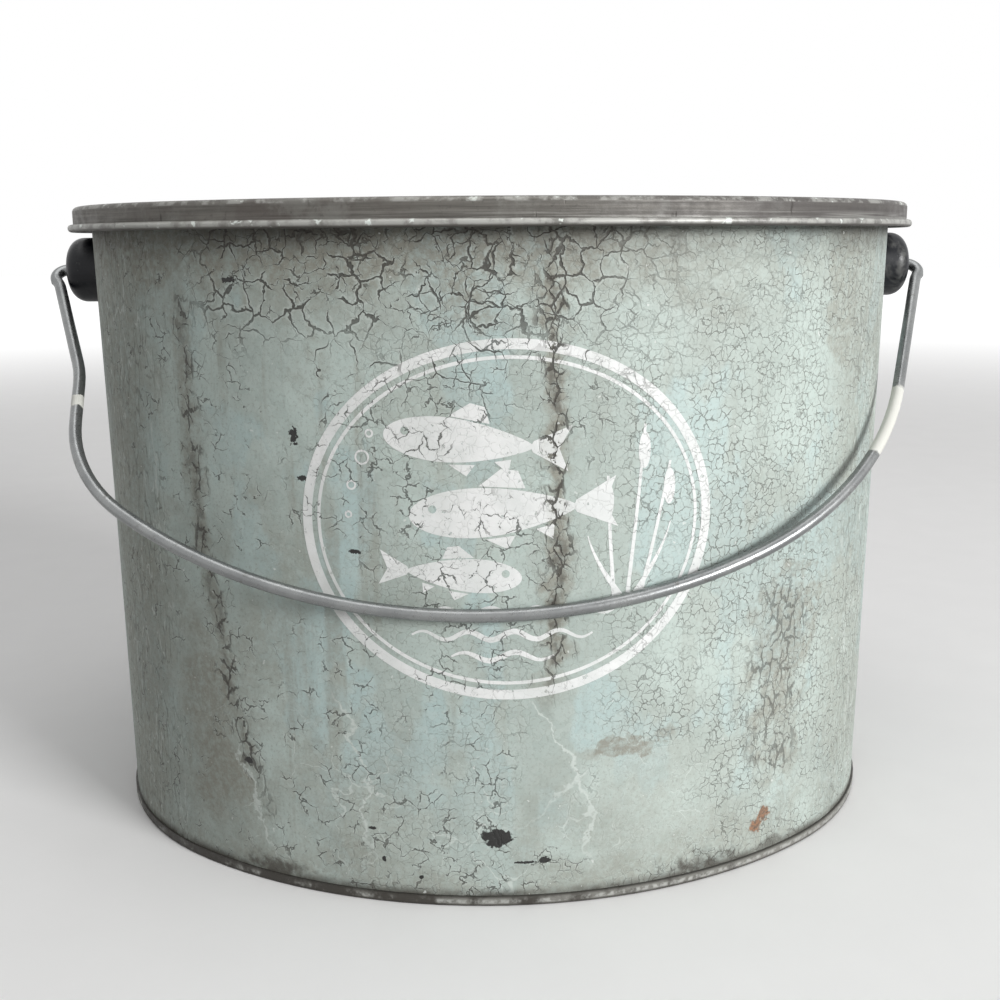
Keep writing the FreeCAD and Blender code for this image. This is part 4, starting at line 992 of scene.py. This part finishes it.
# Pieces.
def make_pail_sheet():
    """The pail's wall as one rolled and dented sheet, its rim rolled outwards."""
    mesh = bmesh.new()
    rim = RIM_BORE + PAIL_SHEET
    low = wall_lean(FOOT)
    section = Section(mesh, low, FOOT)
    section.straight(0, RIM_CENTRE, runs=60)
    section.bend(RIM_BORE, RIM_CENTRE, 270, steps=12)
    section.straight(RIM_BORE, RIM_CENTRE - rim)
    section.bend(RIM_BORE, RIM_CENTRE, -270, steps=18)
    section.straight(low - PAIL_SHEET, FOOT, runs=60)
    section.straight(low, FOOT)
    bmesh.ops.remove_doubles(mesh, verts=mesh.verts, dist=MERGE)
    spin_round_oval(mesh, end_steps=48, side_steps=48)
    for vertex in mesh.verts:
        vertex.co -= wall_normal(vertex.co) * dent_depth(vertex.co)
    mark_unrolled(mesh)
    piece = finish_piece(mesh, "pail_sheet", PAIL_PAINT)
    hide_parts("pail_wall")


def make_side_seam():
    """The folded lock seam up the back of the pail, pressed flat on the sheet."""
    mesh = bmesh.new()
    thick = FOLD_PROUD + PAIL_SHEET / 2
    tall = FOLD_HIGH - FOLD_LOW
    bmesh.ops.create_cube(mesh, size=1.0, matrix=Matrix.Diagonal((FOLD_WIDTH, thick, tall, 1)))
    upright = [edge for edge in mesh.edges if abs(edge.verts[0].co.z - edge.verts[1].co.z) > tall / 2]
    outer = [edge for edge in upright if edge.verts[0].co.y > 0]
    bmesh.ops.bevel(mesh, geom=outer, offset=FOLD_PROUD / 2, affect="EDGES", segments=3, profile=0.5,
                    material=-1)
    middle = (0, HALF_WIDTH + FOLD_PROUD - thick / 2, (FOLD_HIGH + FOLD_LOW) / 2)
    bmesh.ops.translate(mesh, verts=mesh.verts, vec=middle)
    for step in range(1, FOLD_CUTS):
        cut = FOLD_LOW + tall * step / FOLD_CUTS
        bmesh.ops.bisect_plane(mesh, geom=mesh.verts[:] + mesh.edges[:] + mesh.faces[:],
                               plane_co=(0, 0, cut), plane_no=(0, 0, 1))
    for vertex in mesh.verts:
        vertex.co.y += wall_lean(vertex.co.z) - dent_depth(Vector((0, HALF_WIDTH, vertex.co.z)))
    bmesh.ops.recalc_face_normals(mesh, faces=mesh.faces)
    mark_unrolled(mesh)
    finish_piece(mesh, "side_seam_fold", PAIL_PAINT)


# The print: white shapes drawn flat, along the wall and up, then laid on the front.
def stamp(middle, turn, reach):
    """The matrix that sets a flat shape of unit size at a place of the print."""
    return (Matrix.Translation((middle[0], middle[1], 0)) @ Matrix.Rotation(math.radians(turn), 4, "Z")
            @ Matrix.Diagonal((reach[0], reach[1], 1, 1)))


def draw_ring(mesh, middle, reach, width, segments=160):
    loops = []
    for inset in (0.0, width):
        made = bmesh.ops.create_circle(mesh, segments=segments, radius=1.0,
                                       matrix=stamp(middle, 0, (reach[0] - inset, reach[1] - inset)))
        loops += list({edge for vertex in made["verts"] for edge in vertex.link_edges})
    bmesh.ops.bridge_loops(mesh, edges=loops)


def draw_disc(mesh, middle, reach, segments=28):
    bmesh.ops.create_circle(mesh, segments=segments, radius=1.0, cap_ends=True,
                            matrix=stamp(middle, 0, reach))


def draw_patch(mesh, corners, place):
    made = [mesh.verts.new(place @ Vector((across, up, 0))) for across, up in corners]
    bmesh.ops.contextual_create(mesh, geom=made)


def draw_band(mesh, points, widths):
    """A flat band through points, as wide at each as its width says."""
    edge = None
    for index, (point, width) in enumerate(zip(points, widths)):
        before = Vector(points[max(index - 1, 0)])
        after = Vector(points[min(index + 1, len(points) - 1)])
        along = (after - before).normalized()
        side = Vector((-along.y, along.x)) * width / 2
        left = Vector((point[0] + side.x, point[1] + side.y, 0))
        right = Vector((point[0] - side.x, point[1] - side.y, 0))
        if edge is None:
            edge = mesh.edges.new((mesh.verts.new(left), mesh.verts.new(right)))
            continue
        first, second = edge.verts
        made = bmesh.ops.extrude_edge_only(mesh, edges=[edge])["geom"]
        edge = [item for item in made if isinstance(item, bmesh.types.BMEdge)][0]
        for vertex in edge.verts:
            near = [other for link in vertex.link_edges for other in link.verts]
            vertex.co = left if first in near else right


def draw_fish(mesh, middle, length, turn, heading):
    """A plain small fish: a tapering body, a forked tail and three fins; gives the place of its eye."""
    place = stamp(middle, turn, (length * heading, length))
    body = bmesh.ops.create_circle(mesh, segments=48, radius=1.0, cap_ends=True)["verts"]
    half, centre, deep, taper = FISH_BODY
    for vertex in body:
        back = (vertex.co.x + 1) / 2
        depth = deep - taper * back * back
        vertex.co = place @ Vector((vertex.co.x * half + centre, vertex.co.y * depth, 0))
    for corners in [FISH_TAIL, *FISH_FINS]:
        draw_patch(mesh, corners, place)
    return place @ Vector((*FISH_EYE, 0))


def draw_ripple(mesh, middle, length, crests):
    steps = crests * RIPPLE_STEPS
    points, widths = [], []
    for step in range(steps + 1):
        share = step / steps
        rise = RIPPLE_SWELL * math.sin(share * crests * 2 * math.pi)
        points.append((middle[0] + (share - 0.5) * length, middle[1] + rise))
        widths.append(RIPPLE_WIDTH * (RIPPLE_TIP + (1 - RIPPLE_TIP) * math.sin(share * math.pi)))
    draw_band(mesh, points, widths)


def draw_stem(mesh, foot, tip, bow, width, end_width):
    """A stem or blade from its foot to its tip, bowed to one side."""
    points, widths = [], []
    for step in range(STEM_STEPS + 1):
        share = step / STEM_STEPS
        bend = bow * math.sin(share * math.pi / 2)
        points.append((foot[0] + (tip[0] - foot[0]) * share + bend, foot[1] + (tip[1] - foot[1]) * share))
        widths.append(width + (end_width - width) * share)
    draw_band(mesh, points, widths)


def lay_on_front(mesh, proud):
    """Cuts a flat print fine enough to follow the wall, and lays it there."""
    layer = mesh.verts.layers.float_vector.new("unrolled")
    for normal, reach in PRINT_CUTS:
        for step in range(-reach, reach + 1):
            cut = Vector(normal) * step * PRINT_CUT
            bmesh.ops.bisect_plane(mesh, geom=mesh.verts[:] + mesh.edges[:] + mesh.faces[:],
                                   plane_co=cut, plane_no=normal)
    for vertex in mesh.verts:
        run = PRINT_MIDDLE[0] + vertex.co.x
        height = PRINT_MIDDLE[1] + vertex.co.y
        vertex[layer] = (run, height, 0.0)
        vertex.co = on_front(run, height, proud)
    for face in mesh.faces:
        face.normal_update()
        if face.normal.y > 0:
            face.normal_flip()


def make_print():
    """A plain oval frame with three small fish, reeds, ripples and bubbles."""
    mesh = bmesh.new()
    for reach, width in PRINT_RINGS:
        draw_ring(mesh, (0, 0), reach, width)
    eyes = [draw_fish(mesh, *fish) for fish in PRINT_FISH]
    for ripple in PRINT_RIPPLES:
        draw_ripple(mesh, *ripple)
    for foot, tip, bow, head in PRINT_REEDS:
        draw_stem(mesh, (foot, REED_FOOT), (tip, head + REED_POINT), bow, *REED_WIDTHS)
        draw_disc(mesh, (tip + bow * REED_HEAD_BOW, head), REED_HEAD)
    for foot, tip, bow in PRINT_BLADES:
        draw_stem(mesh, foot, tip, bow, *BLADE_WIDTHS)
    for middle, reach in PRINT_BUBBLES:
        draw_ring(mesh, middle, (reach, reach), BUBBLE_LINE, segments=28)
    lay_on_front(mesh, PRINT_PROUD)
    finish_piece(mesh, "front_print", PRINT_PAINT)
    spots = bmesh.new()
    for eye in eyes:
        draw_disc(spots, (eye.x, eye.y), (EYE_REACH, EYE_REACH), segments=20)
    lay_on_front(spots, EYE_PROUD)
    finish_piece(spots, "print_eyes", PAIL_PAINT)


# Light, camera and floor.
def shown_rays(tree):
    """One for rays from the camera, in reflections and through glass."""
    ray = put(tree, "ShaderNodeLightPath").outputs
    return most(ray["Is Camera Ray"], ray["Is Glossy Ray"], ray["Is Transmission Ray"])


def make_floor():
    """Plain pale floor that throws little light back up and turns white far off."""
    material, shader, place = start_material("pale_floor")
    speck = noise(place, 40.0, 3.0)
    pale = tint(speck, FLOOR_LOW, FLOOR_HIGH)
    reach = feed("ShaderNodeVectorMath", {0: place}, operation="LENGTH").outputs["Value"]
    shown = shown_rays(shader.id_data)
    far = times(ease(reach, *FLOOR_FADE), shown)
    colour = tint(shown, FLOOR_FILL, pale)
    colour = tint(far, colour, BLACK)
    glow = tint(far, BLACK, WHITE)
    join(colour, shader.inputs["Base Color"])
    join(glow, shader.inputs["Emission Color"])
    join(1.0, shader.inputs["Emission Strength"])
    join(0.7, shader.inputs["Roughness"])
    mesh = bmesh.new()
    bmesh.ops.create_grid(mesh, x_segments=8, y_segments=8, size=FLOOR_REACH)
    floor = add_object(mesh, "floor", material)


def make_world():
    """White to the camera and in reflections, a soft grey fill as light."""
    world = bpy.data.worlds.new("studio")
    bpy.context.scene.world = world
    world.use_nodes = True
    tree = world.node_tree
    level = feed("ShaderNodeMapRange", {0: shown_rays(tree), 3: FILL_LEVEL, 4: 1.0}).outputs[0]
    background = tree.nodes["Background"]
    join((*WHITE, 1.0), background.inputs["Color"])
    join(level, background.inputs["Strength"])


def add_area_light(name, azimuth, elevation, distance, width, power):
    """A soft square lamp that faces the pail."""
    lamp = bpy.data.lights.new(name, "AREA")
    lamp.size = width
    lamp.energy = power
    turn, lift = math.radians(azimuth), math.radians(elevation)
    aim = Vector((math.sin(turn) * math.cos(lift), -math.cos(turn) * math.cos(lift), math.sin(lift)))
    light = bpy.data.objects.new(name, lamp)
    light.location = LAMP_AIM + aim * distance
    light.rotation_euler = aim.to_track_quat("Z", "Y").to_euler()
    bpy.context.scene.collection.objects.link(light)


def make_camera():
    """The photograph's view."""
    lens = bpy.data.cameras.new("camera")
    lens.sensor_width = SENSOR
    lens.sensor_fit = "HORIZONTAL"
    lens.lens = LENS
    lens.shift_y = FRAME_SHIFT
    lens.clip_start = 0.01
    camera = bpy.data.objects.new("camera", lens)
    turn = Matrix.Rotation(math.radians(CAMERA_TURN), 4, "Z")
    tilt = Matrix.Rotation(math.radians(CAMERA_TILT), 4, "X")
    roll = Matrix.Rotation(math.radians(CAMERA_ROLL), 4, "Z")
    camera.matrix_world = Matrix.Translation(CAMERA_PLACE) @ turn @ tilt @ roll
    bpy.context.scene.collection.objects.link(camera)
    bpy.context.scene.camera = camera


dress_cad_nodes()
make_pail_sheet()
make_side_seam()
make_print()
make_floor()
make_world()
for lamp_row in LAMPS:
    add_area_light(*lamp_row)
make_camera()
bpy.context.scene.view_settings.view_transform = "Standard"
